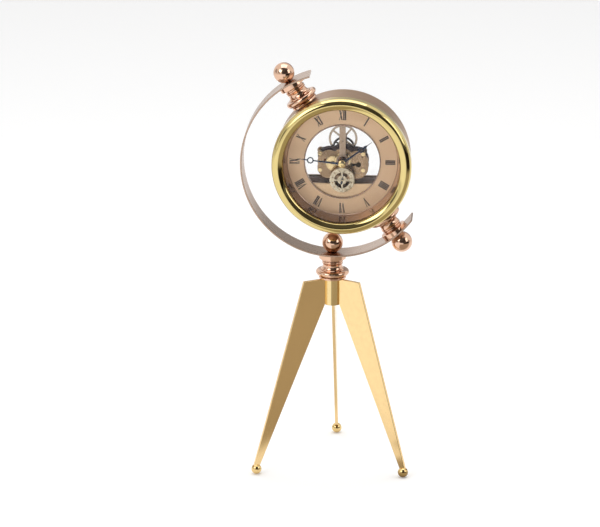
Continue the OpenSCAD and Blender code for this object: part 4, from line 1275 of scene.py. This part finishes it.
@dataclass
class CaseShell:
    """The drum with its pivot holes, the wide polished bezel and the flared spacer."""

    places: Places
    drum_r: float = DRUM_R
    wall: float = 1.5
    back: float = DRUM_BACK
    front: float = 10.3
    fore: float = 8.3
    bezel_h: float = 9.7
    bezel_lip: float = 1.7
    hole_r: float = 3.02

    @property
    def inner(self) -> float:
        """Inner radius of the drum."""
        return self.drum_r - self.wall

    @property
    def recess(self) -> float:
        """Radius of the seat for the dial and the pane."""
        return self.inner - 2.85

    @property
    def lip(self) -> float:
        """Radius of the opening in the bezel."""
        return self.recess - 2.15

    def drum(self) -> Obj:
        """Turn the drum wall with a rolled rear edge, then pierce it for both pivots.

        Returns:
            The drum, in the dial's axes.
        """
        r, inner, b, f, c = self.drum_r, self.inner, -self.back, self.front + self.fore, 0.35
        profile = [(inner, b), (r - c, b)] + arc(r - c, b + c, c, -80, 0, 4) + [(r, f), (inner, f)]
        obj = lathe("case_drum_turned", profile, 192)
        put(obj, spun(90, "X"))
        for end in End:
            angle = -self.places.lean if end is End.TOP else 180 - self.places.lean
            tool = disc("pivot_hole", 0, 0, self.hole_r, self.inner - 6, 12, 48)
            put(tool, spun(angle, "Y"))
            combine(obj, tool, Join.CUT)
        put(obj, spun(-90, "X"))
        return shade(obj, 30)

    def bezel(self) -> Obj:
        """Turn the bezel: rim bead, broad rounded face, a step and a dished inner wall.

        Returns:
            The bezel, in the dial's axes.
        """
        r = self.drum_r + self.bezel_lip
        seat = self.front + self.fore
        top = seat + self.bezel_h
        lip_z = top - 3.2
        crest = r - 4.2
        profile = ([(self.recess, self.front - 2), (self.inner - 0.02, self.front - 2),
                    (self.inner - 0.02, seat),
                    (r - 0.5, seat)] + arc(r - 0.5, seat + 0.5, 0.5, -80, 0, 4)
                   + [(r, seat + 2.2), (r - 0.12, seat + 2.45), (r - 0.12, seat + 2.7), (r, seat + 2.95)]
                   + arc(crest, top - 4.2, 4.2, 0, 90, 22)
                   + [(crest - 0.35, top - 0.02), (crest - 0.75, top - 0.12), (crest - 1.6, top - 0.42),
                      (crest - 2.5, top - 0.82),
                      (crest - 3.2, top - 1.28), (crest - 3.6, top - 1.75), (crest - 3.8, top - 2.3)]
                   + [(self.lip + 0.08, lip_z + 0.3), (self.lip, lip_z + 0.15), (self.lip, lip_z),
                      (self.recess, lip_z)])
        return shade(lathe("bezel_turned", profile, 256), 26)

    def spacer(self) -> Obj:
        """Turn the flared ring between the pane and the dial.

        Returns:
            The ring, in the dial's axes.
        """
        mouth = self.lip - 2.3
        face = self.front + 0.7
        rim = self.recess - 0.02
        glass_back = self.front + self.fore + self.bezel_h - 3.2 - 0.3 - 1.4
        profile = [(mouth, face), (rim, face), (rim, glass_back), (self.lip, glass_back),
                   (self.lip - 0.35, glass_back - 0.6),
                   (mouth + 0.25, face + 0.55), (mouth, face + 0.3)]
        return shade(lathe("dial_spacer_turned", profile, 192), 26)

    def build(self) -> None:
        """Make the three shells."""
        on_head(self.places, ((self.drum, DRUM_ROSE, "case_drum"), (self.bezel, GOLD_POLISH, "bezel"),
                              (self.spacer, ROSE_SPACER, "dial_spacer")))




@dataclass
class RearDetails:
    """The rear cover with its window, and the battery door with its finger grip."""

    places: Places
    drum_r: float = DRUM_R
    back: float = DRUM_BACK
    thick: float = 1.2
    window_r: float = 38.0
    window_low: float = -15.4
    cell_x: float = -3.05
    cell_y: float = -25.8
    door_half: Point2 = (27.25, 7.6)
    gap: float = 0.2

    def door_frame(self, spare: float) -> tuple[Point2, Point2]:
        """Corners of the battery door.

        Args:
            spare: Distance to add all round, in millimetres.

        Returns:
            The low and the high corner, seen from the front.
        """
        w, h = self.door_half[0] + spare, self.door_half[1] + spare
        return (self.cell_x - w, self.cell_y - h), (self.cell_x + w, self.cell_y + h)

    def cover(self) -> Obj:
        """Turn the cover with its locating flange, then open its window and its battery door.

        Returns:
            The cover, in the dial's axes.
        """
        r, inner, z0, z1 = self.drum_r - 0.1, self.drum_r - 1.52, -self.back - self.thick, -self.back
        profile = [(0.0, z0), (r - 3.2, z0), (r - 3.0, z0 + 0.15), (r - 2.7, z0 + 0.15), (r - 2.5, z0),
                   (r - 0.4, z0),
                   (r - 0.1, z0 + 0.12), (r, z0 + 0.4), (r, z1), (inner, z1), (inner, z1 + 1.19),
                   (inner - 0.73, z1 + 1.19),
                   (inner - 0.73, z1), (0.0, z1)]
        obj = lathe("rear_cover_turned", profile, 192, False)
        start = math.degrees(math.asin(self.window_low / self.window_r))
        window = plate("window", arc(0, 0, self.window_r, start, 180 - start, 96), z0 - 1, self.thick + 1.6)
        combine(obj, window, Join.CUT)
        low, high = self.door_frame(self.gap)
        combine(obj, block("doorway", (*low, z0 - 1), (*high, z1 + 0.6)), Join.CUT)
        return shade(obj, 30)

    def door(self) -> Obj:
        """Cut the battery door, with its inner ribs and the grooves that a finger grips.

        Returns:
            The door, in the dial's axes.
        """
        z0 = -self.back - self.thick
        low, high = self.door_frame(0.0)
        obj = block("battery_door_cut", (*low, z0), (*high, -self.back))
        for groove in range(6):
            x = high[0] - 4.0 - 1.6 * groove
            combine(obj, block("groove", (x, self.cell_y - 4.2, z0 - 1),
                               (x + 0.7, self.cell_y + 4.2, z0 + 0.45)), Join.CUT)
        arrow = [(high[0] - 15.5, self.cell_y - 2.2), (high[0] - 15.5, self.cell_y + 2.2),
                 (high[0] - 18.6, self.cell_y)]
        combine(obj, plate("arrow", arrow, z0 - 1, 1.4), Join.CUT)
        for y in (self.cell_y + 5.85, self.cell_y - 7.05):
            combine(obj, block("rib", (self.cell_x - 6, y, -self.back - 0.3),
                               (self.cell_x + 6, y + 1.2, -self.back + 0.88)), Join.ADD)
        soften(obj, 0.15, 2, 50)
        return shade(obj)

    def build(self) -> None:
        """Make the cover and the door."""
        on_head(self.places, ((self.cover, DRUM_ROSE, "rear_cover"), (self.door, DRUM_ROSE, "battery_door")))


# ---------------------------------------------------------------- dial


@dataclass
class DialSet:
    """Chapter ring, serifed numerals, opening rim, bridge bar, bush, lower plate and seconds ring."""

    places: Places
    outer: float = 43.43
    opening: float = 27.3
    front: float = 11.0
    thick: float = 1.0
    numeral_r: float = 34.0
    numeral_h: float = 7.0
    ink: float = 0.12
    bar_w: float = 4.4
    bar_t: float = 1.4
    boss_r: float = 4.6
    chord: float = -16.4
    reach: float = 39.05
    seconds_y: float = SECONDS_Y
    seconds_r: float = 8.9
    seconds_rise: float = 3.5
    spoked_y: float = 14.7

    def ring(self) -> Obj:
        """Turn the flat chapter ring with a fine chamfer at its opening.

        Returns:
            The ring, in the dial's axes.
        """
        z0, z1 = self.front - self.thick, self.front
        profile = [(self.opening, z0), (self.outer, z0), (self.outer, z1), (self.opening + 0.12, z1),
                   (self.opening, z1 - 0.12)]
        return shade(lathe("chapter_ring", profile, 192), 30)

    def rim(self) -> Obj:
        """Turn the thin double rim that stands round the opening.

        Returns:
            The rim, in the dial's axes.
        """
        r0, r1 = self.opening - 0.8, self.opening - 0.02
        z0, z1 = self.front - self.thick + 0.02, self.front + 0.6
        profile = [(r0, z0), (r1, z0), (r1, z1 - 0.12), (r1 - 0.1, z1), (r1 - 0.2, z1),
                   (r1 - 0.28, z1 - 0.16),
                   (r0 + 0.28, z1 - 0.16), (r0 + 0.2, z1), (r0 + 0.1, z1), (r0, z1 - 0.12)]
        return shade(lathe("opening_rim", profile, 160), 30)

    def letter(self, kind: str) -> Obj:
        """Cut one letter from thick and thin strokes with bracketed serifs.

        Args:
            kind: "I", "V" or "X".

        Returns:
            The flat letter, its left edge at 0 and its middle height at 0.
        """
        h = self.numeral_h / 2
        foot, s = 0.34, 0.16
        thick, thin = 0.95, 0.42
        parts: list[list[Point2]] = []
        if kind == "I":
            x = 0.575
            parts.append([(x - thick / 2, -h), (x + thick / 2, -h), (x + thick / 2, h), (x - thick / 2, h)])
            for sign in (-1, 1):
                parts.append([(x - thick / 2 - s, sign * h), (x + thick / 2 + s, sign * h),
                              (x + thick / 2, sign * (h - foot)), (x - thick / 2, sign * (h - foot))])
        elif kind == "V":
            parts.append([(0.25, h), (0.25 + thick, h), (1.75, -h), (1.35, -h)])
            parts.append([(2.45, h), (2.45 + thin, h), (1.75, -h), (1.45, -h)])
            parts.append([(0.0, h - 0.14), (1.28, h - 0.14), (1.28, h), (0.0, h)])
            parts.append([(2.1, h - 0.14), (3.0, h - 0.14), (3.0, h), (2.1, h)])
        else:
            parts.append([(0.25, h), (0.25 + thick, h), (2.75, -h), (2.75 - thick, -h)])
            parts.append([(2.45, h), (2.45 + thin, h), (0.55, -h), (0.55 - thin, -h)])
            for sign in (-1, 1):
                parts.append([(0.0, sign * (h - 0.14)), (1.28, sign * (h - 0.14)), (1.28, sign * h),
                              (0.0, sign * h)])
                parts.append([(1.95, sign * (h - 0.14)), (3.0, sign * (h - 0.14)), (3.0, sign * h),
                              (1.95, sign * h)])
        whole: Obj | None = None
        for number, outline in enumerate(parts):
            stroke = plate(f"letter_{kind}", outline, 0.0, self.ink)
            whole = stroke if whole is None else combine(whole, stroke, Join.ADD)
        return whole

    def numerals(self) -> Obj:
        """Set the twelve hour marks round the ring, each letter copied from one cut.

        Returns:
            The marks as one object, in the dial's axes.
        """
        cut = {kind: self.letter(kind) for kind in "IVX"}
        width = {"I": 1.15, "V": 3.0, "X": 3.0}
        marks = []
        for hour in Numeral:
            word = hour.name
            left = -sum(width[k] for k in word) / 2
            for kind in word:
                mark = twin(cut[kind], f"mark_{word}")
                turn = spun(-30 * hour.value, "Z")
                put(mark, turn @ Matrix.Translation((left, self.numeral_r, self.front)))
                marks.append(mark)
                left += width[kind]
        for blank in cut.values():
            bpy.data.objects.remove(blank, do_unlink=True)
        return gather("hour_numerals", marks)

    def bar(self) -> Obj:
        """Cut the bridge bar with its round boss, bore it and break its edges.

        Returns:
            The bar, in the dial's axes.
        """
        z = self.front - self.thick - self.bar_t
        obj = block("bridge_bar_cut", (-self.bar_w / 2, 0.0, z),
                    (self.bar_w / 2, self.opening + 4, z + self.bar_t))
        combine(obj, disc("boss", 0, 0, self.boss_r, z, self.bar_t, 96), Join.ADD)
        combine(obj, disc("bore", 0, 0, 2.8, z - 1, 4, 64), Join.CUT)
        combine(obj, disc("jewel_sink", 0, self.spoked_y, 1.15, z + self.bar_t - 0.25, 1, 40), Join.CUT)
        combine(obj, disc("jewel_hole", 0, self.spoked_y, 0.5, z - 1, 4, 24), Join.CUT)
        soften(obj, 0.16, 2)
        return shade(obj)

    def bush(self) -> Obj:
        """Turn the red-gold bush with its rounded collar.

        Returns:
            The bush, in the dial's axes.
        """
        z0 = self.front - self.thick - self.bar_t
        z1 = z0 + self.bar_t
        profile = [(2.15, z0), (2.78, z0), (2.78, z1)] + [(3.2, z1)] + arc(3.2, z1 + 0.3, 0.3, -60, 0, 3) \
            + arc(3.1, z1 + 0.6, 0.4, 0, 90, 5) + [(2.6, z1 + 1.0), (2.4, z1 + 0.75), (2.15, z1 + 0.7)]
        return shade(lathe("centre_bush_turned", profile, 64), 30)

    def lower(self) -> Obj:
        """Cut the plate that fills the opening below its chord, with a bevelled top edge.

        Returns:
            The plate, in the dial's axes.
        """
        z = self.front - self.thick - self.bar_t
        start = math.degrees(math.asin(self.chord / self.reach))
        outline = arc(0, 0, self.reach, 180 - start, 360 + start, 72)
        obj = plate("lower_plate_cut", outline, z, self.bar_t)
        combine(obj, disc("carrier", 0, self.seconds_y, self.seconds_r - 0.2, z, self.bar_t, 96), Join.ADD)
        combine(obj, disc("boss_relief", 0, 0, self.boss_r + 0.2, z - 1, 4, 64), Join.CUT)
        combine(obj, disc("seconds_hole", 0, self.seconds_y, self.seconds_r - 3.2, z - 1, 4, 64), Join.CUT)
        soften(obj, 0.25, 3)
        return shade(obj)

    def seconds(self) -> Obj:
        """Pierce the seconds ring, with windows, hub and twelve marks, and stand it on its sleeve.

        Returns:
            The ring, in the dial's axes.
        """
        inner = self.seconds_r - 3.2
        foot = self.front - self.thick
        z = foot + self.seconds_rise
        obj = disc("seconds_ring_cut", 0, 0, self.seconds_r, z, 0.7, 96)
        window = lathe("windows", [(3.3, z - 1), (inner, z - 1), (inner, z + 2), (3.3, z + 2)], 64)
        for turn in (0, 90):
            for sign in (0, 180):
                spoke = block("spoke", (0, -0.6, z - 2), (10, 0.6, z + 3))
                put(spoke, spun(turn + sign, "Z"))
                combine(window, spoke, Join.CUT)
        combine(obj, window, Join.CUT)
        for number in range(12):
            long = number % 3 == 1
            mark = block("mark", (inner + 0.75, -0.2 if long else -0.32, z - 1),
                         (inner + (2.5 if long else 1.8), 0.2 if long else 0.32, z + 2))
            put(mark, spun(15 + 30 * number, "Z"))
            combine(obj, mark, Join.CUT)
        combine(obj, disc("hole", 0, 0, 0.5, z - 1, 4, 24), Join.CUT)
        sleeve = lathe("sleeve", [(inner, foot), (inner + 1, foot), (inner + 1, z + 0.1), (inner, z + 0.1)],
                       96)
        combine(obj, sleeve, Join.ADD)
        soften(obj, 0.08, 1)
        return shade(put(obj, Matrix.Translation((0, self.seconds_y, 0))))

    def build(self) -> None:
        """Make and dress the dial's pieces."""
        mid = tuple(self.places.head().translation)
        # Both turned finishes carry the painted sheen fan of Turned.
        dial = Turned("dial_rose_tan", (0.87, 0.61, 0.39), (0.76, 0.51, 0.315), 0.36, 0.75, mid, 0.0431,
                      (0.22, 0.10, 0.05))
        low = Turned("lower_plate_gold", (0.88, 0.63, 0.40), (0.74, 0.51, 0.30), 0.3, 0.9, mid, 0.2)
        on_head(self.places, ((self.ring, dial, "dial_ring"), (self.numerals, INK, "dial_numerals"),
                              (self.rim, ROSE_SPACER, "dial_inner_rim"), (self.bar, BRIDGE_TAN, "bridge_bar"),
                              (self.bush, COPPER_BUSH, "centre_bush"), (self.lower, low, "lower_plate"),
                              (self.seconds, PALE_BRASS, "seconds_ring")))




# ---------------------------------------------------------------- movement seen through the dial


@dataclass
class MovementFront:
    """The pierced front plate and the dark cover that shows above it."""

    places: Places
    plate_z: float = 4.4
    plate_t: float = 1.4
    pillars: tuple[Point2, ...] = ((14.5, 4.5), (14.5, -7.5), (-16.2, 4.5), (-16.2, -7.5))

    def front(self) -> Obj:
        """Cut the plate from overlapping discs, then pierce its slots and holes.

        Returns:
            The plate, in the dial's axes.
        """
        z, t = self.plate_z, self.plate_t
        obj = disc("front_plate_cut", 0, 0, 8.2, z, t, 96)
        for x, y, r in ((-10.3, -5.9, 7.7), (10.4, -5.9, 7.7), (-9.6, -1.4, 8.3), (10.2, -1.0, 7.6),
                        (14.5, 4.5, 1.8),
                        (14.5, -7.5, 1.8), (-16.2, 4.5, 1.8), (-16.2, -7.5, 1.8)):
            combine(obj, disc("lobe", x, y, r, z, t, 72), Join.ADD)
        combine(obj, block("tail", (-8.6, -16.6, z), (8.6, -6.6, z + t)), Join.ADD)
        fish = arc(11.2, -3.6, 1.9, -150, 150, 20) + [(8.2, -3.0), (5.8, -1.9), (5.0, -3.3), (6.0, -5.1),
                                                      (8.4, -4.3)]
        slot = [(-3.2, 0.7), (-8.2, 1.3), (-13.2, 0.5), (-14.0, -0.6), (-12.6, -1.6), (-7.6, -1.3),
                (-3.4, -1.2)]
        for number, outline in enumerate((fish, slot)):
            combine(obj, plate(f"opening_{number}", outline, z - 1, t + 2), Join.CUT)
        for x, y, r in ((-9.2, -5.4, 1.5), (13.8, 1.9, 0.7), (0, 0, 2.6), (-6.77, -2.46, 0.76),
                        (0, -12.7, 0.5), (1.97, -6.55, 0.4)):
            combine(obj, disc("hole", x, y, r, z - 1, t + 2, 32), Join.CUT)
        for x, y in self.pillars:
            combine(obj, disc("screw_hole", x, y, 0.82, z - 1, t + 2, 24), Join.CUT)
        soften(obj, 0.3, 2, 50)
        return shade(obj)

    def cover(self) -> Obj:
        """Cut the dark cover whose upper edge shows above the plate.

        Returns:
            The cover, in the dial's axes.
        """
        z = self.plate_z - 0.8
        obj = disc("gear_cover_cut", 0, 1.4, 10.2, z, 0.79, 96)
        for side in (-1, 1):
            combine(obj, disc("lobe", 9.6 * side, 1.2, 8.4, z, 0.79, 72), Join.ADD)
        combine(obj, block("below", (-30, -30, z - 1), (30, 1.6, z + 2)), Join.CUT)
        for x, y in self.pillars:
            combine(obj, disc("pillar_hole", x, y, 1.3, z - 1, 3, 32), Join.CUT)
        combine(obj, disc("middle_hole", 0, 0, 2.6, z - 1, 3, 32), Join.CUT)
        soften(obj, 0.15, 2, 50)
        return shade(obj)

    def build(self) -> None:
        """Make and dress the two plates."""
        on_head(self.places, ((self.front, PLATE_GOLD, "front_plate"),
                              (self.cover, DARK_STEEL, "gear_cover")))




@dataclass
class Hands:
    """Blued hour, minute and seconds hands, and the domed nut that holds them."""

    places: Places
    hour_z: float = 15.9
    minute_z: float = 17.0
    seconds_z: float = 14.4
    thick: float = 0.4
    hour_len: float = 26.5
    minute_len: float = 32.0
    hour_angle: float = 53.0
    minute_angle: float = 276.0
    seconds_angle: float = 12.0
    seconds_y: float = SECONDS_Y

    def finish(self, obj: Obj, angle: float) -> Obj:
        """Break a hand's edges and turn it clockwise to its angle.

        Args:
            obj: the hand, pointing up.
            angle: clockwise angle in degrees.

        Returns:
            The same object.
        """
        soften(obj, 0.1, 2, 50)
        return put(shade(obj), spun(-angle, "Z"))

    def outline(self, hub_r: float, widths: tuple[float, float, float], moon: tuple[float, float],
                tip: list[Point2]) -> list[Point2]:
        """Work out a hand's edge, pointing up the Y axis.

        Args:
            hub_r: radius of the round hub.
            widths: half widths of the shaft at the hub and at the moon, and of the tip at the moon.
            moon: height of the moon's centre, and its outer radius.
            tip: the right-hand corners above the moon.

        Returns:
            The corners in order, counter-clockwise.
        """
        root, neck, leave = widths
        height, radius = moon
        hub = arc(0, 0, hub_r, -90, math.degrees(math.acos(root / hub_r)), 22)
        ring = arc(0, height, radius, -math.degrees(math.acos(neck / radius)),
                   math.degrees(math.acos(leave / radius)), 26)
        right = hub + ring + tip
        return right + [(-x, y) for x, y in reversed(right[1:])]

    def minute(self) -> Obj:
        """Cut the long hand: hub, tapering shaft, moon ring and fine tip.

        Returns:
            The hand at its angle.
        """
        edge = self.outline(2.2, (0.9, 0.42, 0.55), (22.5, 2.4), [(0.32, 26.0), (0.1, self.minute_len)])
        obj = plate("minute_hand_cut", edge, self.minute_z, self.thick)
        combine(obj, disc("moon_hole", 0, 22.5, 1.55, self.minute_z - 1, 3, 48), Join.CUT)
        combine(obj, disc("bore", 0, 0, 1.02, self.minute_z - 1, 3, 40), Join.CUT)
        return self.finish(obj, self.minute_angle)

    def hour(self) -> Obj:
        """Cut the short hand: hub, shaft, open moon and a spade that runs to a fine tip.

        Returns:
            The hand at its angle.
        """
        spade = [(1.1, 19.8), (0.95, 20.7), (0.3, 22.2), (0.1, self.hour_len)]
        edge = self.outline(2.9, (0.9, 0.5, 0.3), (17.0, 2.2), spade)
        obj = plate("hour_hand_cut", edge, self.hour_z, self.thick)
        combine(obj, disc("moon_hole", 0, 17, 1.35, self.hour_z - 1, 3, 40), Join.CUT)
        combine(obj, disc("bore", 0, 0, 1.82, self.hour_z - 1, 3, 40), Join.CUT)
        return self.finish(obj, self.hour_angle)

    def seconds(self) -> Obj:
        """Cut the small hand with its drop-shaped tail.

        Returns:
            The hand at its angle.
        """
        z, t = self.seconds_z, self.thick
        drop = arc(0, -2.2, 0.8, 160, 380, 12) + [(0.3, 0.0), (0.1, 5.2), (-0.1, 5.2), (-0.3, 0.0)]
        obj = plate("seconds_hand_cut", drop, z, t)
        combine(obj, disc("hub", 0, 0, 0.9, z, t, 32), Join.ADD)
        combine(obj, disc("bore", 0, 0, 0.47, z - 1, 3, 24), Join.CUT)
        soften(obj, 0.06, 1, 50)
        put(shade(obj), spun(-self.seconds_angle, "Z"))
        return put(obj, Matrix.Translation((0, self.seconds_y, 0)))

    def nut(self) -> Obj:
        """Turn the domed nut.

        Returns:
            The nut, in the dial's axes.
        """
        z = self.minute_z + self.thick
        dome = [(2.85 * math.cos(math.radians(a)),
                 z + 0.25 + 1.2 * math.sin(math.radians(a))) for a in range(0, 91, 6)]
        profile = [(0.0, z + 0.72), (1.02, z + 0.72), (1.02, z), (2.7, z), (2.85, z + 0.12)] + dome
        profile[-1] = (0.0, z + 1.45)
        return shade(lathe("hand_nut_turned", profile, 64, False), 40)

    def build(self) -> None:
        """Make and dress the hands."""
        on_head(self.places, ((self.hour, HAND_BLUE, "hour_hand"), (self.minute, HAND_BLUE, "minute_hand"),
                              (self.seconds, HAND_BLUE, "seconds_hand"), (self.nut, NUT_GOLD, "hand_nut")))




# ---------------------------------------------------------------- pieces that keep their CAD shape


@dataclass(frozen=True)
class KeptPieces:
    """CAD nodes whose shape is right, each with its finish."""

    finishes: tuple[tuple[Finish, tuple[str, ...]], ...] = (
        (STEEL, ("centre_stud", "pivot_studs", "pivot_nuts", "retaining_ring", "retaining_screws",
                 "battery_contacts")),
        (FIBRE, ("pivot_washers",)),
        (BRASS, ("pivot_bushes", "pillars", "bridge_posts", "seconds_wheel", "third_wheel", "centre_wheel",
                 "intermediate_wheel",
                 "cannon_pinion", "hour_wheel", "minute_wheel", "plate_screws")),
        (GREY_BRASS, ("spoked_wheel",)),
        (DARK_STEEL, ("dark_wheel", "stator")),
        (MAGNET, ("rotor",)),
        (RUBBER, ("glass_gasket",)),
        (GLASS, ("front_glass", "rear_window")),
        (PLATE_GOLD, ("back_plate",)),
        (PLASTIC, ("movement_base",)),
        (CELL_WRAP, ("battery",)),
        (BOARD, ("circuit_board",)),
        (WIRE, ("coil_winding",)),
    )

    def dress(self) -> None:
        """Give every kept node its material."""
        for finish, nodes in self.finishes:
            for node in nodes:
                obj = frame["nodes"][node]
                material = finish.material()
                if not obj.material_slots:
                    obj.data.materials.append(material)
                for slot in obj.material_slots:
                    slot.material = material
                log.info("%s keeps its shape with %s", node, finish.name)


# ---------------------------------------------------------------- studio


@dataclass
class Studio:
    """Pale floor, soft lights, a surround for the metal to reflect, and the camera."""

    azimuth: float = 3.8
    elevation: float = 17.1
    distance: float = 2.5
    lens: float = 208.7
    aim_right: float = -0.0234
    aim_up: float = 0.1506

    def floor(self) -> None:
        """Lay a plain pale floor."""
        quiet()
        bpy.ops.mesh.primitive_plane_add(size=30, location=(0, 0, -0.0002))
        obj = bpy.context.object
        obj.name = "studio_floor"
        made = bpy.data.materials.new("studio_floor_pale")
        made.use_nodes = True
        shader = made.node_tree.nodes["Principled BSDF"]
        wires = Wiring(made.node_tree)
        wires.feed(shader, Roughness=0.9, Specular_IOR_Level=0.0, Emission_Strength=0.12)
        self.shaded_corner(wires, shader)
        obj.data.materials.append(made)

    def shaded_corner(self, wires: Wiring, shader: Node) -> None:
        """Let glossy metal see the floor's front right, and a patch close in front, as shaded.

        Args:
            wires: Wiring of the floor's material.
            shader: The floor's main shader.
        """
        place = wires.add("ShaderNodeTexCoord")
        level = wires.vector("MULTIPLY", place.outputs["Object"], (1, 1, 0))[0]
        unit = wires.vector("NORMALIZE", level)[0]
        reach = wires.vector("LENGTH", level)["Value"]
        sectors = []
        for direction, low, high in (((0.82, -0.57, 0.0), 0.72, 0.9), ((0.36, -0.933, 0.0), 0.76, 0.88)):
            dot = wires.vector("DOT_PRODUCT", unit, direction)["Value"]
            sectors.append(wires.spread(dot, low, high, smooth=True))
        near = wires.spread(reach, 0.65, 0.95, 1.0, 0.0, True)
        patch = wires.spread(reach, 0.50, 0.60, 1.0, 0.0, True)
        clear = wires.spread(reach, 0.055, 0.068, smooth=True)
        # Painted shade on the floor just under the stand, seen only by glossy rays.
        under = wires.spread(reach, 0.035, 0.05, 0.4, 0.0, True)
        both = wires.math("MAXIMUM", sectors[0], wires.times(wires.times(sectors[1], clear), patch))
        seen = wires.add("ShaderNodeLightPath").outputs["Is Glossy Ray"]
        mask = wires.times(wires.math("MAXIMUM", both, under), seen)
        shade_tone = wires.blend(near, (0.02, 0.015, 0.012), (0.42, 0.37, 0.30))
        wires.feed(shader, Base_Color=wires.blend(mask, (0.93, 0.93, 0.93), shade_tone),
                   Emission_Color=wires.blend(mask, (1.0, 1.0, 1.0), (0.0, 0.0, 0.0)))

    def light(self, name: str, place: Point, size: Point2, power: float, aim: Point = (0, 0, 0.18)) -> None:
        """Hang one rectangular soft light that looks at the clock.

        Args:
            name: name of the light.
            place: where it hangs, in metres.
            size: its width and height.
            power: its power in watts.
            aim: the point it faces.
        """
        quiet()
        bpy.ops.object.light_add(type="AREA", location=place)
        obj = bpy.context.object
        obj.name = name
        obj.data.shape = "RECTANGLE"
        obj.data.size, obj.data.size_y = size
        obj.data.energy = power
        obj.rotation_euler = (Vector(aim) - Vector(place)).to_track_quat("-Z", "Y").to_euler()

    def surround(self) -> None:
        """White surround whose dark gaps give the polished metal its contrast."""
        world = bpy.data.worlds.new("studio_surround")
        bpy.context.scene.world = world
        world.use_nodes = True
        wires = Wiring(world.node_tree)
        back = world.node_tree.nodes["Background"]
        place = wires.add("ShaderNodeTexCoord")
        value: Socket | None = None
        gaps = (
            ((0.66, -0.68, 0.20), 0.80, 0.86, 0.10),
            ((0.95, -0.25, -0.10), 0.88, 0.93, 0.30),
            ((0.10, -0.79, 0.60), 0.73, 0.79, 0.05),
            ((-0.75, -0.62, 0.25), 0.965, 0.978, 0.15),
            ((-0.98, 0.10, 0.15), 0.93, 0.965, 0.45),
            ((0.25, 0.95, 0.15), 0.90, 0.95, 0.40),
            ((0.0, -0.98, 0.12), 0.955, 0.97, 0.22),
        )
        for direction, start, end, floor in gaps:
            dot = wires.vector("DOT_PRODUCT", place.outputs["Generated"], Vector(direction).normalized())
            level = wires.spread(dot["Value"], start, end, 1.0, floor, True)
            value = level if value is None else wires.times(value, level)
        seen = wires.add("ShaderNodeLightPath").outputs["Is Camera Ray"]
        tint = wires.blend(wires.math("MAXIMUM", value, seen), (0.055, 0.05, 0.045), (1.0, 1.0, 1.0))
        wires.feed(back, Color=tint, Strength=1.0)

    def camera(self) -> None:
        """Stand the camera at the viewing angle, level and without depth of field."""
        a, e = math.radians(self.azimuth), math.radians(self.elevation)
        target = Vector((self.aim_right * math.cos(a), self.aim_right * math.sin(a), self.aim_up))
        back = Vector((math.sin(a) * math.cos(e), -math.cos(a) * math.cos(e), math.sin(e)))
        place = target + back * self.distance
        quiet()
        bpy.ops.object.camera_add(location=place, rotation=back.to_track_quat("Z", "Y").to_euler())
        cam = bpy.context.object
        cam.name = "studio_camera"
        cam.data.lens = self.lens
        cam.data.sensor_width = 36.0
        cam.data.clip_end = 100.0
        bpy.context.scene.camera = cam

    def build(self) -> None:
        """Set the whole studio."""
        self.floor()
        self.surround()
        self.light("key_left", (-1.1, -1.3, 1.2), (1.0, 1.0), 9.0)
        self.light("fill_right", (1.4, -0.7, 0.9), (0.7, 1.0), 4.0)
        self.light("top_soft", (0.0, 0.1, 1.8), (1.4, 1.4), 9.0)
        self.camera()
        scene = bpy.context.scene
        scene.view_settings.view_transform = "Standard"
        scene.view_settings.look = "None"
        scene.view_settings.exposure = 0.0


def main() -> None:
    """Build the clock in order."""
    logging.basicConfig(level=logging.INFO, format="%(name)s: %(message)s")
    places = Places()
    Studio().build()
    for part in (Tripod(places), RingAndBalusters(places), CaseShell(places), DialSet(places),
                 MovementFront(places),
                 Hands(places), RearDetails(places)):
        log.info("building %s", type(part).__name__)
        part.build()
    KeptPieces().dress()


if __name__ == "__main__":
    main()
